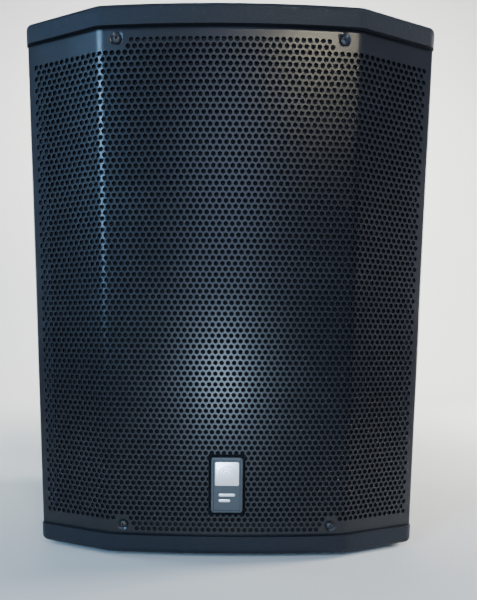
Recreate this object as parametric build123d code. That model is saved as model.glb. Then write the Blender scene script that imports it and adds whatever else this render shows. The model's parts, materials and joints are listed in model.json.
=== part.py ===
"""A two-way loudspeaker cabinet for stage and hall use, built as its separate pieces.

The box is glued plywood. Its front has a shallow convex middle and a slanted facet on each side,
and one bent steel grille covers all three. Inside are a twelve-inch woofer, a horn with its
compression driver, a crossover, port tubes and damping. The rear has a recessed input plate, the
sides have bar handles, and a pole socket is let into the bottom.

Millimetres. +Z is up, the front faces -Y, and the origin is at the middle of the footprint, on the
surface that the cabinet stands on.
"""
from build123d import *
import os
from math import asin, cos, hypot, radians, sin, sqrt, tan

# ---------------------------------------------------------------- driving dimensions
cabinet_width = 417.0
cabinet_depth = 330.0
bay_height = 502.0  # from the bottom panel to the top panel, which is what the grille fills
panel_thickness = 20.0
centre_half_width = 127.0  # middle of the front, from the centre line to the bend
facet_angle = 22.0  # each slanted facet, away from the front plane
front_bow = 6.0  # how far the middle of the front stands forward of its bends
side_length = 150.0  # flat side, front to back
rear_half_width = 110.0
corner_round = 10.0  # upright edges of the box, in plan
bend_radius = 30.0  # where the middle of the front turns into its facets, in plan
edge_round = 6.0  # outer edge of the top and bottom panels
fit_gap = 0.1  # between pieces that touch
running_gap = 0.3  # between pieces that move past each other

foot_height = 4.0  # of the rubber that stands proud
foot_radius = 15.0
wood_pilot = 1.8  # radius of a hole for a wood screw
small_pilot = 1.5
foot_inset = 34.0  # from the bottom panel's edges

grille_thickness = 1.5
grille_setback = 4.0  # behind the edge of the top and bottom panels
flange_inset = 1.0  # of the grille's side flange, behind the side panel's face
flange_length = 12.0
foam_side_gap = 2.0  # between the foam behind the grille and each side panel
grille_corner_radius = 4.0
foam_thickness = 5.0
rail_height = 16.0  # of the wood that the grille is screwed to
grille_screw_x = 110.0
grille_screw_edge = 10.0  # from the grille's top or bottom edge

baffle_setback = 4.0  # behind the outer corner of the facets
woofer_radius = 156.0
woofer_edge = 4.0  # between the woofer and the rail under it
flange_plate = 8.0  # thickness of the woofer's mounting flange
cutout_radius = 142.0
basket_depth = 75.0
basket_base_radius = 80.0
surround_outer = 136.0
surround_inner = 119.0
coil_radius = 32.0
cone_depth = 50.0
cone_wall = 1.4
dust_cap_radius = 46.0
dust_cap_height = 13.0
cone_travel = 5.0  # each way
magnet_radius = 78.0
magnet_height = 20.0
steel_plate = 8.0  # top plate and back plate of the motor
woofer_bolt_circle = 147.0  # radius
woofer_bolts = 8
woofer_bolt_start = 22.5  # angle of the first bolt
winding_wall = 1.2  # of the voice coil with its former
motor_gap = 0.6  # between the moving coil and the steel on either side
gasket_height = 3.0
spider_height = 13.0  # of the spider over the basket's base

horn_width = 228.0
horn_height = 142.0
horn_depth = 105.0
horn_wall = 3.5
horn_lip = 9.0  # of the horn's flange, outside its mouth
horn_gap = 6.0  # between the woofer and the horn
horn_flange = 5.0
throat_radius = 12.7
driver_radius = 45.0
driver_length = 28.0
driver_bolt_inset = 14.0  # from the driver's edge to its bolts
diaphragm_room = 24.5  # radius of the space that the diaphragm sits in
diaphragm_radius = 22.0
port_radius = 25.0
port_wall = 2.5
port_length = 100.0
port_margin = 6.0  # between the port and the side panel
port_flange = 3.0

handle_length = 96.0  # of the grip opening, front to back
handle_height = 90.0
handle_depth = 45.0
handle_rim = 10.0
handle_wall = 3.0
handle_z = 340.0
bar_height = 24.0
bar_thickness = 17.0
bar_drop = 14.0  # from the top of the opening to the bar

flush_head_radius = 3.6
flush_head_height = 1.5
flush_length = 13.0

input_width = 128.0  # opening of the rear dish
input_height = 84.0
input_depth = 28.0
input_rim = 15.0
input_wall = 2.5
input_z = 176.0
socket_spread = 38.0  # between the two speaker sockets
switch_travel = 5.0
switch_place = (32.0, -18.0)  # in the dish
switch_slot = (12.6, 4.2)
jack_place = (30.0, 14.0)  # in the dish
jack_radius = 3.25

pole_radius = 18.0
pole_depth = 80.0
pole_wall = 3.5
pole_flange_radius = 40.0
pole_flange = 3.0
pole_y = 5.0
pole_screw_circle = 33.0

thread_radius = 4.25  # of the suspension points
insert_radius = 7.0
insert_flange_radius = 12.0
insert_flange = 2.0
suspension_x = 120.0
suspension_y = -40.0

badge_width = 33.0
badge_height = 59.0
badge_z = 55.2  # above the bottom panel
badge_plate_thickness = 2.6
badge_lip = 1.5  # of the frame round its recess
badge_recess = 0.7
badge_bars = (17.0, 12.0)  # lengths

brace_thickness = 15.0
brace_z = 288.0
brace_gap = 40.0  # behind the woofer's motor
pad_thickness = 22.0
pad_margin = 12.0  # over the brace
pad_headroom = 20.0  # under the top panel

board_width = 150.0
board_depth = 66.0
board_thickness = 1.6
standoff_height = 8.0
standoff_inset = 6.0  # from the board's edges
board_rear_gap = 14.0  # behind the board, to the rear panel
lead_radius = 2.2

# ---------------------------------------------------------------- places worked out from them
half_width = cabinet_width / 2
y_front = -cabinet_depth / 2
y_rear = cabinet_depth / 2
y_bend = y_front + front_bow
slope = tan(radians(facet_angle))
y_corner = y_bend + (half_width - centre_half_width) * slope
y_side_end = y_corner + side_length
inner_half = half_width - panel_thickness
z_panel = foot_height  # underside of the bottom panel
z_bay = z_panel + panel_thickness
z_lid = z_bay + bay_height
z_top = z_lid + panel_thickness
bow_radius = (centre_half_width**2 + front_bow**2) / (2 * front_bow)

grille_back = grille_setback + grille_thickness
flange_back = flange_inset + grille_thickness
grille_corner_y = y_bend + (half_width - flange_inset - centre_half_width) * slope
grille_corner_y += grille_setback / cos(radians(facet_angle))
flange_end = grille_corner_y + flange_length
baffle_front = y_corner + baffle_setback
baffle_back = baffle_front + panel_thickness

woofer_seat = flange_plate - gasket_height  # where the surround is glued, over the baffle
winding_radius = coil_radius + winding_wall
spider_level = spider_height - basket_depth
driver_bolt_circle = driver_radius - driver_bolt_inset
dish_floor = -input_depth + input_wall + fit_gap  # where the sockets stand, under the rear face
woofer_z = z_bay + rail_height + woofer_edge + woofer_radius
horn_z = woofer_z + woofer_radius + horn_gap + horn_height / 2
port_x = inner_half - port_margin - port_wall - port_radius
plate_top = basket_depth + 4.0  # depth of the motor's top plate behind the baffle's face
magnet_top = plate_top + steel_plate
magnet_bottom = magnet_top + magnet_height
motor_bottom = magnet_bottom + steel_plate
handle_y = (flange_end + y_side_end - corner_round) / 2
brace_front = baffle_front + motor_bottom + brace_gap
board_y = y_rear - panel_thickness - board_rear_gap - board_depth / 2
board_z = z_bay + standoff_height
board_top = board_z + board_thickness
pad_low = brace_z + brace_thickness + pad_margin
pad_high = z_lid - pad_headroom


# ---------------------------------------------------------------- small tools
def block(x0, x1, y0, y1, z0, z1):
    """A box between two corners."""
    place = Pos((x0 + x1) / 2, (y0 + y1) / 2, (z0 + z1) / 2)
    return place * Box(x1 - x0, y1 - y0, z1 - z0)


def prism(face, z0, z1):
    """A plan face, raised from z0 to z1."""
    return Pos(0, 0, z0) * extrude(face, amount=z1 - z0)


def turned(*points):
    """A ring turned about Z from a closed outline of (radius, height) corners."""
    outline = Polyline(*[(r, 0, z) for r, z in points], close=True)
    return revolve(make_face(outline), axis=Axis.Z)


def dome(radius, level, height, wall):
    """A thin spherical cap on z = level. A negative height makes it hang."""
    up = 1 if height > 0 else -1
    points = []
    for base, rise in ((radius, abs(height)), (radius - wall, abs(height) - wall)):
        sphere = (base**2 + rise**2) / (2 * rise)
        half_turn = asin(base / sphere) / 2
        middle = rise - sphere * (1 - cos(half_turn))
        points.append((base, sphere * sin(half_turn), middle, rise))
    (a, ax, az, top), (b, bx, bz, low) = points
    section = [
        ThreePointArc((a, 0, level), (ax, 0, level + up * az), (0, 0, level + up * top)),
        Line((0, 0, level + up * top), (0, 0, level + up * low)),
        ThreePointArc((0, 0, level + up * low), (bx, 0, level + up * bz), (b, 0, level)),
        Line((b, 0, level), (a, 0, level)),
    ]
    return revolve(make_face(section), axis=Axis.Z)


def rod(radius, z0, z1):
    return Pos(0, 0, (z0 + z1) / 2) * Cylinder(radius, z1 - z0)


def plate(width, height, radius, z0, z1):
    """A rounded rectangular plate in the local XY plane."""
    return Pos(0, 0, z0) * extrude(RectangleRounded(width, height, radius), amount=z1 - z0)


def to_front(x, z, y=None):
    """A local frame on the baffle: its z points out of the front, and its y points up."""
    return Location((x, baffle_front if y is None else y, z), (90, 0, 0))


def to_rear(x, y, z):
    """A local frame that looks out of the rear: its z points to +Y, and its y points down."""
    return Location((x, y, z), (-90, 0, 0))


def to_right(x, y, z):
    """A local frame that looks out of the right side: its z points to +X, its x points down."""
    return Location((x, y, z), (0, 90, 0))


def to_angled_wall(along, z):
    """A local frame on the right angled wall: z points out of the wall, x points down."""
    dx, dy = half_width - rear_half_width, y_rear - y_side_end
    length = hypot(dx, dy)
    x = half_width - dx * along / length
    y = y_side_end + dy * along / length
    outward = Plane(origin=(x, y, z), x_dir=(0, 0, -1), z_dir=(dy / length, dx / length, 0))
    return outward.location


def mirrored(part):
    return mirror(part, about=Plane.YZ)


def on_circle(radius, count, start=0.0):
    step = 360.0 / count
    return [
        (radius * cos(radians(start + i * step)), radius * sin(radians(start + i * step)))
        for i in range(count)
    ]


def screw(head_radius, head_height, shank_radius, shank_length, socket_radius):
    """A button-head screw with a hexagonal socket. Its head stands on z = 0."""
    head = turned(
        (0, 0),
        (head_radius, 0),
        (head_radius, head_height * 0.35),
        (head_radius * 0.62, head_height),
        (0, head_height),
    )
    socket = Pos(0, 0, head_height * 0.35) * extrude(
        RegularPolygon(socket_radius, 6), amount=head_height
    )
    return head - socket + rod(shank_radius, -shank_length, 0.0)


def group(solids):
    """Separate solids that share one node."""
    return Compound(children=[s for part in solids for s in part.solids()])


def inset_corner(before, corner, after, distance):
    """The corner of a clockwise or anticlockwise outline, moved inwards by distance."""
    ax, ay = corner[0] - before[0], corner[1] - before[1]
    bx, by = after[0] - corner[0], after[1] - corner[1]
    la, lb = hypot(ax, ay), hypot(bx, by)
    na, nb = (-ay / la, ax / la), (-by / lb, bx / lb)
    scale = distance / (1 + na[0] * nb[0] + na[1] * nb[1])
    return (corner[0] + (na[0] + nb[0]) * scale, corner[1] + (na[1] + nb[1]) * scale)


# ---------------------------------------------------------------- plan outlines
def plan_outline():
    """The whole box in plan, with its rounded upright edges."""
    right = [
        (centre_half_width, y_bend),
        (half_width, y_corner),
        (half_width, y_side_end),
        (rear_half_width, y_rear),
    ]
    left = [(-x, y) for x, y in reversed(right)]
    bow = ThreePointArc(left[-1], (0, y_front), right[0])
    face = make_face([bow, Polyline(*right, *left)])
    corners = [v for v in face.vertices() if abs(v.X) > centre_half_width + 1 or v.Y > 0]
    face = fillet(corners, corner_round)
    bends = [v for v in face.vertices() if v.Y < y_bend + 1]
    return fillet(bends, bend_radius)


def front_region(setback, inset, end_y):
    """The plan behind the front: setback behind the bow and facets, inset from the sides."""
    turn = tan(radians(facet_angle / 2))
    bend_x = centre_half_width - setback * turn
    side_x = half_width - inset
    side_y = y_bend + (side_x - centre_half_width) * slope + setback / cos(radians(facet_angle))
    right = [(bend_x, y_bend + setback), (side_x, side_y), (side_x, end_y)]
    left = [(-x, y) for x, y in reversed(right)]
    bow = ThreePointArc(left[-1], (0, y_front + setback), right[0])
    face = make_face([bow, Polyline(*right, *left)])
    deeper = setback - grille_setback
    corners = [v for v in face.vertices() if abs(abs(v.X) - side_x) < 0.01 and v.Y < end_y - 1]
    face = fillet(corners, max(grille_corner_radius - (inset - flange_inset), 0.8))
    bends = [v for v in face.vertices() if v.Y < y_bend + setback + 0.1]
    return fillet(bends, bend_radius - min(deeper, bend_radius - 2))


def bow_point(x, setback):
    """Where the bowed middle lies at x, and how far its normal has turned, in degrees."""
    radius = bow_radius - setback
    drop = radius - sqrt(radius**2 - x**2)
    turn = Vector(0, -1, 0).get_angle(Vector(x, -sqrt(radius**2 - x**2), 0))
    return y_front + setback + drop, turn if x > 0 else -turn


def wall_corners():
    """Outer and inner corners of the right-hand half of the box's walls, front to back."""
    outer = [
        (half_width, y_front),
        (half_width, y_side_end),
        (rear_half_width, y_rear),
        (-rear_half_width, y_rear),
    ]
    inner = [(inner_half, y_front)]
    for i in (1, 2):
        inner.append(inset_corner(outer[i - 1], outer[i], outer[i + 1], panel_thickness))
    return outer, inner


def inner_outline(clearance):
    """The inside of the box in plan, from the baffle's rear face to the rear panel."""
    _, inner = wall_corners()
    right = [
        (inner_half - clearance, baffle_back),
        (inner[1][0] - clearance, inner[1][1]),
        (inner[2][0] - clearance, inner[2][1] - clearance),
    ]
    left = [(-x, y) for x, y in reversed(right)]
    return make_face(Polyline(*right, *left, close=True))


# ---------------------------------------------------------------- screw places
def grille_screw_frames():
    frames = []
    for z in (z_bay + grille_screw_edge, z_lid - grille_screw_edge):
        for x in (-grille_screw_x, grille_screw_x):
            y, turn = bow_point(x, grille_setback)
            frames.append(Location((x, y - fit_gap, z)) * Location((0, 0, 0), (0, 0, turn)))
    return [f * Location((0, 0, 0), (90, 0, 0)) for f in frames]


def handle_screw_points():
    reach_x = handle_height / 2 + handle_rim / 2
    reach_y = handle_length / 2 + handle_rim / 2 - 4.0
    return [(sx * reach_x, sy * reach_y) for sx in (-1, 1) for sy in (-1, 1)]


def input_screw_points():
    reach_x = input_width / 2 + input_rim / 2
    reach_y = input_height / 2 + input_rim / 2
    return [(sx * reach_x, sy * reach_y) for sx in (-1, 1) for sy in (-1, 1)]


def foot_places():
    front_y = y_corner + foot_inset / 2
    rear_y = y_rear - foot_inset
    front_x = half_width - foot_inset
    rear_x = rear_half_width - foot_inset / 2
    return [(-front_x, front_y), (front_x, front_y), (-rear_x, rear_y), (rear_x, rear_y)]


def angled_foot_frames():
    wall = hypot(half_width - rear_half_width, y_rear - y_side_end)
    return [
        to_angled_wall(along, z)
        for along in (foot_inset, wall - foot_inset)
        for z in (z_bay + foot_inset, z_lid - foot_inset)
    ]


def suspension_points():
    return [(-suspension_x, suspension_y), (suspension_x, suspension_y)]


# ---------------------------------------------------------------- the box
def pilot(radius, depth, start=0.0):
    """A hole for a screw, from z = start down to z = -depth."""
    return rod(radius, -depth, start)


def top_panel():
    panel = prism(plan_outline(), z_lid, z_top)
    rim = panel.faces().sort_by(Axis.Z)[-1].edges()
    panel = fillet(rim, edge_round)
    for x, y in suspension_points():
        panel -= Pos(x, y, z_lid) * rod(insert_radius, 0, panel_thickness)
    return panel


def bottom_panel():
    panel = prism(plan_outline(), z_panel, z_bay)
    rim = panel.faces().sort_by(Axis.Z)[0].edges()
    panel = fillet(rim, edge_round)
    for x, y in suspension_points():
        panel -= Pos(x, y, z_panel) * rod(insert_radius, 0, panel_thickness)
    socket_hole = rod(pole_radius + pole_wall + fit_gap, 0, panel_thickness)
    rebate = rod(pole_flange_radius + fit_gap, 0, pole_flange + fit_gap)
    panel -= Pos(0, pole_y, z_panel) * (socket_hole + rebate)
    for x, y in on_circle(pole_screw_circle, 4, 45):
        panel -= Pos(x, y + pole_y, z_panel) * rod(small_pilot + fit_gap, 0, 16)
    for x, y in foot_places():
        panel -= Pos(x, y, z_panel) * rod(wood_pilot, 0, 14)
    for x in (-1, 1):
        for y in (-1, 1):
            px, py = standoff_place(x, y)
            panel -= Pos(px, py, z_bay) * rod(1.3, -9, 0)
    return panel


def side_panel():
    outer, inner = wall_corners()
    outline = Polyline(outer[0], outer[1], inner[1], inner[0], close=True)
    wall = make_face(outline) & plan_outline()
    behind_grille = front_region(grille_back + fit_gap, flange_back + fit_gap, y_rear)
    behind_flange = Pos(0, (flange_end + fit_gap + y_rear) / 2) * Rectangle(
        cabinet_width, y_rear - flange_end - fit_gap
    )
    panel = prism(wall & (behind_grille + behind_flange), z_bay, z_lid)
    frame = to_right(half_width, handle_y, handle_z)
    cup = plate(
        handle_height + 2 * (handle_wall + fit_gap),
        handle_length + 2 * (handle_wall + fit_gap),
        12,
        -panel_thickness,
        1,
    )
    rebate = handle_rim_plate(handle_wall + fit_gap, fit_gap, top=1)
    panel -= frame * (cup + rebate)
    for x, y in handle_screw_points():
        panel -= frame * Pos(x, y, -handle_wall) * pilot(small_pilot, 12, 1)
    return panel


def angled_panel():
    outer, inner = wall_corners()
    outline = Polyline(outer[1], outer[2], inner[2], inner[1], close=True)
    panel = prism(make_face(outline) & plan_outline(), z_bay, z_lid)
    for frame in angled_foot_frames():
        panel -= frame * pilot(wood_pilot, 14)
    return panel


def rear_panel():
    outer, inner = wall_corners()
    left = [(-x, y) for x, y in (inner[2], outer[2])]
    outline = Polyline(outer[2], inner[2], *left, close=True)
    panel = prism(make_face(outline) & plan_outline(), z_bay, z_lid)
    frame = to_rear(0, y_rear, input_z)
    room = 2 * (input_wall + fit_gap)
    panel -= frame * plate(input_width + room, input_height + room, 8, -panel_thickness, 1)
    panel -= frame * input_rim_plate(input_wall + fit_gap, fit_gap, top=1)
    for x, y in input_screw_points():
        panel -= frame * Pos(x, y, -input_wall) * pilot(small_pilot, 12, 1)
    return panel


def baffle():
    panel = block(-inner_half, inner_half, baffle_front, baffle_back, z_bay, z_lid)
    frame = to_front(0, woofer_z)
    panel -= frame * rod(cutout_radius, -panel_thickness, 1)
    for x, y in on_circle(woofer_bolt_circle, woofer_bolts, woofer_bolt_start):
        panel -= frame * Pos(x, y) * pilot(2.5, panel_thickness, 1)
    panel -= to_front(0, horn_z) * plate(
        horn_width - 2 * horn_lip, horn_height - 2 * horn_lip, 14, -panel_thickness, 1
    )
    for x, y in horn_screw_points():
        panel -= to_front(x, horn_z + y) * pilot(wood_pilot, panel_thickness, 1)
    for x in (-port_x, port_x):
        panel -= to_front(x, horn_z) * rod(port_radius + port_wall + fit_gap, -panel_thickness, 1)
    return panel


def grille_rail(z0, z1, screw_z):
    """The wood at the top or bottom of the bay, which the grille is screwed to."""
    region = front_region(grille_back + fit_gap, panel_thickness + fit_gap, baffle_front + 40)
    region &= Pos(0, (y_front + baffle_front) / 2) * Rectangle(
        2 * inner_half - 2 * fit_gap, baffle_front - y_front
    )
    rail = prism(region, z0, z1)
    for frame in grille_screw_frames():
        if abs(frame.position.Z - screw_z) < 1:
            rail -= frame * pilot(2.05, 24, 2)
    return rail


def grille_rails():
    low = grille_rail(z_bay, z_bay + rail_height, z_bay + grille_screw_edge)
    high = grille_rail(z_lid - rail_height, z_lid, z_lid - grille_screw_edge)
    return group([low, high])


def brace():
    """A shelf with a window, between the angled walls and the rear panel."""
    cut = Pos(0, brace_front + cabinet_depth / 2) * Rectangle(cabinet_width, cabinet_depth)
    region = inner_outline(fit_gap) & cut
    rear = y_rear - panel_thickness
    window = Pos(0, (brace_front + rear) / 2) * RectangleRounded(
        2 * rear_half_width - 100, rear - brace_front - 60, 12
    )
    return prism(region - window, brace_z, brace_z + brace_thickness)


# ---------------------------------------------------------------- the grille and its badge
def grille():
    outer = front_region(grille_setback, flange_inset, flange_end)
    inner = front_region(grille_back, flange_back, flange_end + 5)
    sheet = prism(outer - inner, z_bay + fit_gap, z_lid - fit_gap)
    for frame in grille_screw_frames():
        sheet -= frame * rod(2.6, -6, 6)
    return sheet


def grille_foam():
    outer = front_region(grille_back + fit_gap, panel_thickness + fit_gap, baffle_front + 40)
    inner = front_region(
        grille_back + fit_gap + foam_thickness, panel_thickness + fit_gap, baffle_front + 60
    )
    rear = baffle_front - port_flange - fit_gap
    keep = Pos(0, (y_front + rear) / 2) * Rectangle(
        2 * (inner_half - foam_side_gap), rear - y_front
    )
    z0 = z_bay + rail_height + fit_gap
    z1 = z_lid - rail_height - fit_gap
    return prism((outer - inner) & keep, z0, z1)


def grille_screws():
    return group([f * screw(5.6, 3.0, 2.0, 20, 1.7) for f in grille_screw_frames()])


def badge_frame():
    return to_front(0, z_bay + badge_z, y_front + grille_setback - fit_gap)


def badge_plate():
    body = plate(badge_width, badge_height, 3.2, 0, badge_plate_thickness)
    recess = plate(
        badge_width - 2 * badge_lip,
        badge_height - 2 * badge_lip,
        2.0,
        badge_plate_thickness - badge_recess,
        badge_plate_thickness + 1,
    )
    return badge_frame() * (body - recess)


def badge_inlay():
    """A plain round-cornered tile with rings cut in it, and two plain bars under it."""
    floor = badge_plate_thickness - badge_recess + fit_gap / 10
    tile_size = badge_width - 8.0
    tile = plate(tile_size, tile_size, 1.5, floor, floor + 0.7)
    for radius in (8.4, 5.6):
        ring = rod(radius, floor + 0.4, floor + 1) - rod(radius - 0.7, floor + 0.4, floor + 1)
        tile -= ring
    high = badge_height / 2 - 5.0 - tile_size / 2
    parts = [Pos(0, high, 0) * tile]
    for i, length in enumerate(badge_bars):
        bar = plate(length, 3.0, 1.4, floor, floor + 0.6)
        parts.append(Pos((length - badge_bars[0]) / 2, -badge_height / 2 + 19.0 - 6.0 * i, 0) * bar)
    return badge_frame() * group(parts)


# ---------------------------------------------------------------- the woofer
def woofer_frame():
    return to_front(0, woofer_z)


def woofer_basket():
    base = -basket_depth
    shell = turned(
        (surround_outer - 10, woofer_seat),
        (woofer_radius - 2, woofer_seat),
        (woofer_radius, woofer_seat - 2),
        (woofer_radius, fit_gap),
        (cutout_radius - 2, fit_gap),
        (basket_base_radius + 2, base + 1),
        (basket_base_radius, base - 4),
        (coil_radius + 6, base - 4),
        (coil_radius + 6, base),
        (basket_base_radius - 4, base),
        (cutout_radius - 5, -2),
        (surround_outer - 10, -2),
    )
    window_mid = (cutout_radius + basket_base_radius) / 2
    window = Pos(0, 0, base / 2 - 4) * Box(90, 46, basket_depth - 26)
    for i in range(6):
        shell -= Rot(0, 0, i * 60 + 30) * Pos(window_mid, 0, 0) * window
    for x, y in on_circle(woofer_bolt_circle, woofer_bolts, woofer_bolt_start):
        shell -= Pos(x, y) * rod(2.8, 0, flange_plate)
    return woofer_frame() * shell


def woofer_gasket():
    z0 = woofer_seat + fit_gap
    ring = turned(
        (surround_outer + 0.5, z0),
        (woofer_radius - 4, z0),
        (woofer_radius - 4, z0 + gasket_height),
        (surround_outer + 0.5, z0 + gasket_height),
    )
    for x, y in on_circle(woofer_bolt_circle, woofer_bolts, woofer_bolt_start):
        ring -= Pos(x, y) * rod(6.2, z0 - 1, z0 + 4)
    return woofer_frame() * ring


def woofer_bolt_set():
    z0 = woofer_seat + fit_gap
    bolts = [
        Pos(x, y, z0) * screw(5.4, 3.2, 2.4, panel_thickness + z0 - 2, 2.0)
        for x, y in on_circle(woofer_bolt_circle, woofer_bolts, woofer_bolt_start)
    ]
    return woofer_frame() * group(bolts)


def woofer_surround():
    """A half roll of cloth between the frame and the cone, with a flat rim glued to the frame."""
    wall = 1.0
    glue = woofer_seat + fit_gap
    near = surround_inner + running_gap
    far = surround_outer - 8
    middle, rise = (near + far) / 2, glue + (far - near) / 2
    section = [
        ThreePointArc((near, 0, glue), (middle, 0, rise), (far, 0, glue)),
        Line((far, 0, glue), (far - wall, 0, glue)),
        ThreePointArc((far - wall, 0, glue), (middle, 0, rise - wall), (near + wall, 0, glue)),
        Line((near + wall, 0, glue), (near, 0, glue)),
    ]
    rim = turned(
        (far - wall, glue),
        (surround_outer, glue),
        (surround_outer, glue + wall),
        (far - wall, glue + wall),
    )
    return woofer_frame() * (revolve(make_face(section), axis=Axis.Z) + rim)


def woofer_cone():
    top = woofer_seat + fit_gap
    neck = winding_radius + fit_gap
    body = turned(
        (surround_inner, top),
        (surround_inner, top - cone_wall),
        (neck, -cone_depth),
        (neck, -cone_depth + cone_wall * 1.3),
        (surround_inner - 4, top),
    )
    return woofer_frame() * body


def woofer_dust_cap():
    """A shallow dome glued to the cone over the voice coil."""
    rise = woofer_seat + cone_depth
    run = surround_inner - (winding_radius + fit_gap)
    seat = -cone_depth + (dust_cap_radius - winding_radius) * rise / run
    seat += cone_wall * 2.0 + fit_gap
    return woofer_frame() * dome(dust_cap_radius, seat, dust_cap_height, 1.0)


def voice_coil():
    """The former, with its winding in the magnet's gap."""
    end = -(magnet_bottom - cone_travel - 1.0)
    former = rod(coil_radius + 0.6, end, -cone_depth + 3) - rod(coil_radius, end, -cone_depth + 3)
    wind_top = -(plate_top - 3.0)
    winding = rod(winding_radius, end + 1, wind_top) - rod(coil_radius + 0.5, end + 1, wind_top)
    return woofer_frame() * (former + winding)


def woofer_spider():
    """The corrugated cloth disc that centres the coil, on a shelf of the basket."""
    level = spider_level
    inner = winding_radius + running_gap
    outer = basket_base_radius - 9.0
    wall = 0.8
    waves = 5
    step = (outer - inner) / waves
    parts = []
    for i in range(waves):
        a = inner + i * step
        lift = 2.2 if i % 2 else -2.2
        face = make_face(
            Polyline(
                (a, 0, level),
                (a + step / 2, 0, level + lift),
                (a + step, 0, level),
                (a + step, 0, level + wall),
                (a + step / 2, 0, level + wall + lift),
                (a, 0, level + wall),
                close=True,
            )
        )
        parts.append(revolve(face, axis=Axis.Z))
    disc = parts[0]
    for part in parts[1:]:
        disc += part
    rim = rod(outer + 4.5, level, level + wall) - rod(outer, level - 1, level + 2)
    return woofer_frame() * (disc + rim)


def spider_ring():
    """The spacer ring in the basket that the spider is glued to."""
    level = spider_level - fit_gap
    outer = basket_base_radius - 4.2
    ring = rod(outer, -basket_depth + fit_gap, level) - rod(outer - 4, -basket_depth, level + 1)
    return woofer_frame() * ring


def motor_top_plate():
    ring = turned(
        (winding_radius + motor_gap, -plate_top - fit_gap),
        (magnet_radius - 12, -plate_top - fit_gap),
        (magnet_radius - 12, -magnet_top),
        (winding_radius + motor_gap, -magnet_top),
    )
    return woofer_frame() * ring


def motor_magnet():
    ring = rod(magnet_radius, -magnet_bottom, -magnet_top - fit_gap)
    ring -= rod(coil_radius + 8, -magnet_bottom - 1, -magnet_top + 1)
    return woofer_frame() * ring


def motor_yoke():
    """The back plate and its vented pole piece."""
    back = rod(magnet_radius - 10, -motor_bottom, -magnet_bottom - fit_gap)
    pole = rod(coil_radius - motor_gap, -motor_bottom, -plate_top + 1)
    vent = rod(9, -motor_bottom - 1, -plate_top + 3)
    return woofer_frame() * (back + pole - vent)


def woofer_terminals():
    """A small insulating strip on the basket's rim with two tags."""
    y = -basket_base_radius - 3
    z = -basket_depth - 1
    strip = block(-13, 13, y - 9, y - 1, z - 3, z)
    tags = block(-9, -6, y - 16, y - 9, z - 2, z - 1) + block(6, 9, y - 16, y - 9, z - 2, z - 1)
    return woofer_frame() * (strip + tags)


# ---------------------------------------------------------------- the horn and its driver
def horn_screw_points():
    reach_x = horn_width / 2 - horn_lip / 2
    reach_y = horn_height / 2 - horn_lip / 2
    corners = [(sx * reach_x, sy * reach_y) for sx in (-1, 1) for sy in (-1, 1)]
    return corners + [(0, reach_y), (0, -reach_y)]


def horn_sections(grow, front):
    """The horn's mouth, waist and throat as rounded outlines, each larger by grow."""
    mouth = (horn_width - 2 * horn_lip - 8, horn_height - 2 * horn_lip - 8, 12)
    waist = (96, 54, 22)
    throat = (2 * throat_radius, 2 * throat_radius, throat_radius - 1.0)
    heights = (front, -horn_depth * 0.5, -horn_depth + 3)
    return [
        Pos(0, 0, z) * RectangleRounded(w + 2 * grow, h + 2 * grow, r + grow)
        for (w, h, r), z in zip((mouth, waist, throat), heights)
    ]


def horn():
    flange = plate(horn_width, horn_height, 10, fit_gap, horn_flange)
    throat_ring = rod(driver_radius - 8, -horn_depth, -horn_depth + 6)
    shell = loft(horn_sections(horn_wall, fit_gap + 1))
    hollow = loft(horn_sections(0, horn_flange + 1))
    throat = rod(throat_radius, -horn_depth - 1, -horn_depth + 3.5)
    body = flange + shell + throat_ring - hollow - throat
    for x, y in horn_screw_points():
        body -= Pos(x, y) * rod(2.1, 0, horn_flange + 1)
    for x, y in on_circle(driver_bolt_circle, 3, 90):
        body -= Pos(x, y) * rod(2.0, -horn_depth - 1, -horn_depth + 8)
    return to_front(0, horn_z) * body


def horn_screws():
    set_of = [
        to_front(x, horn_z + y) * Pos(0, 0, horn_flange + fit_gap) * screw(4.0, 2.4, 1.7, 18, 1.3)
        for x, y in horn_screw_points()
    ]
    return group(set_of)


def driver_motor():
    """The compression driver's magnet and phase plug, open from the diaphragm to the throat."""
    front = -horn_depth - fit_gap
    back = front - driver_length
    body = turned(
        (throat_radius, front),
        (driver_radius - 8, front),
        (driver_radius - 8, front - 6),
        (driver_radius, front - 8),
        (driver_radius, back),
        (diaphragm_room, back),
        (diaphragm_room, back + 3),
        (14.5, back + 8),
    )
    for x, y in on_circle(driver_bolt_circle, 3, 90):
        body -= Pos(x, y) * rod(2.0, front - 12, front + 1)
    return to_front(0, horn_z) * body


def driver_cover():
    front = -horn_depth - 2 * fit_gap - driver_length
    cap = turned(
        (diaphragm_room, front),
        (driver_radius - 3, front),
        (driver_radius - 4, front - 13),
        (driver_radius - 9, front - 17),
        (0, front - 17),
        (0, front - 14),
        (diaphragm_room, front - 14),
    )
    for x, y in on_circle(driver_radius - 11, 2, 0):
        cap -= Pos(x, y) * rod(1.6, front - 20, front + 1)
    return to_front(0, horn_z) * cap


def driver_diaphragm():
    """A thin dome with its short coil, in the space behind the phase plug."""
    level = -horn_depth - driver_length - 2.0
    inside = diaphragm_radius - 0.6
    coil = rod(diaphragm_radius, level - 0.2, level + 3) - rod(inside, level - 1, level + 4)
    return to_front(0, horn_z) * (dome(diaphragm_radius, level, -7.0, 0.5) + coil)


def driver_bolts():
    seat = baffle_front + horn_depth - 6 - fit_gap
    bolts = [
        to_front(x, horn_z + y, seat) * screw(3.6, 2.6, 1.9, 17, 1.2)
        for x, y in on_circle(driver_bolt_circle, 3, 90)
    ]
    return group(bolts)


def port_tubes():
    tube = rod(port_radius + port_wall, -port_length, port_flange)
    tube += rod(port_radius + 5, fit_gap, port_flange)
    tube -= rod(port_radius, -port_length - 1, port_flange + 1)
    return group([to_front(x, horn_z) * tube for x in (-port_x, port_x)])


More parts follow.
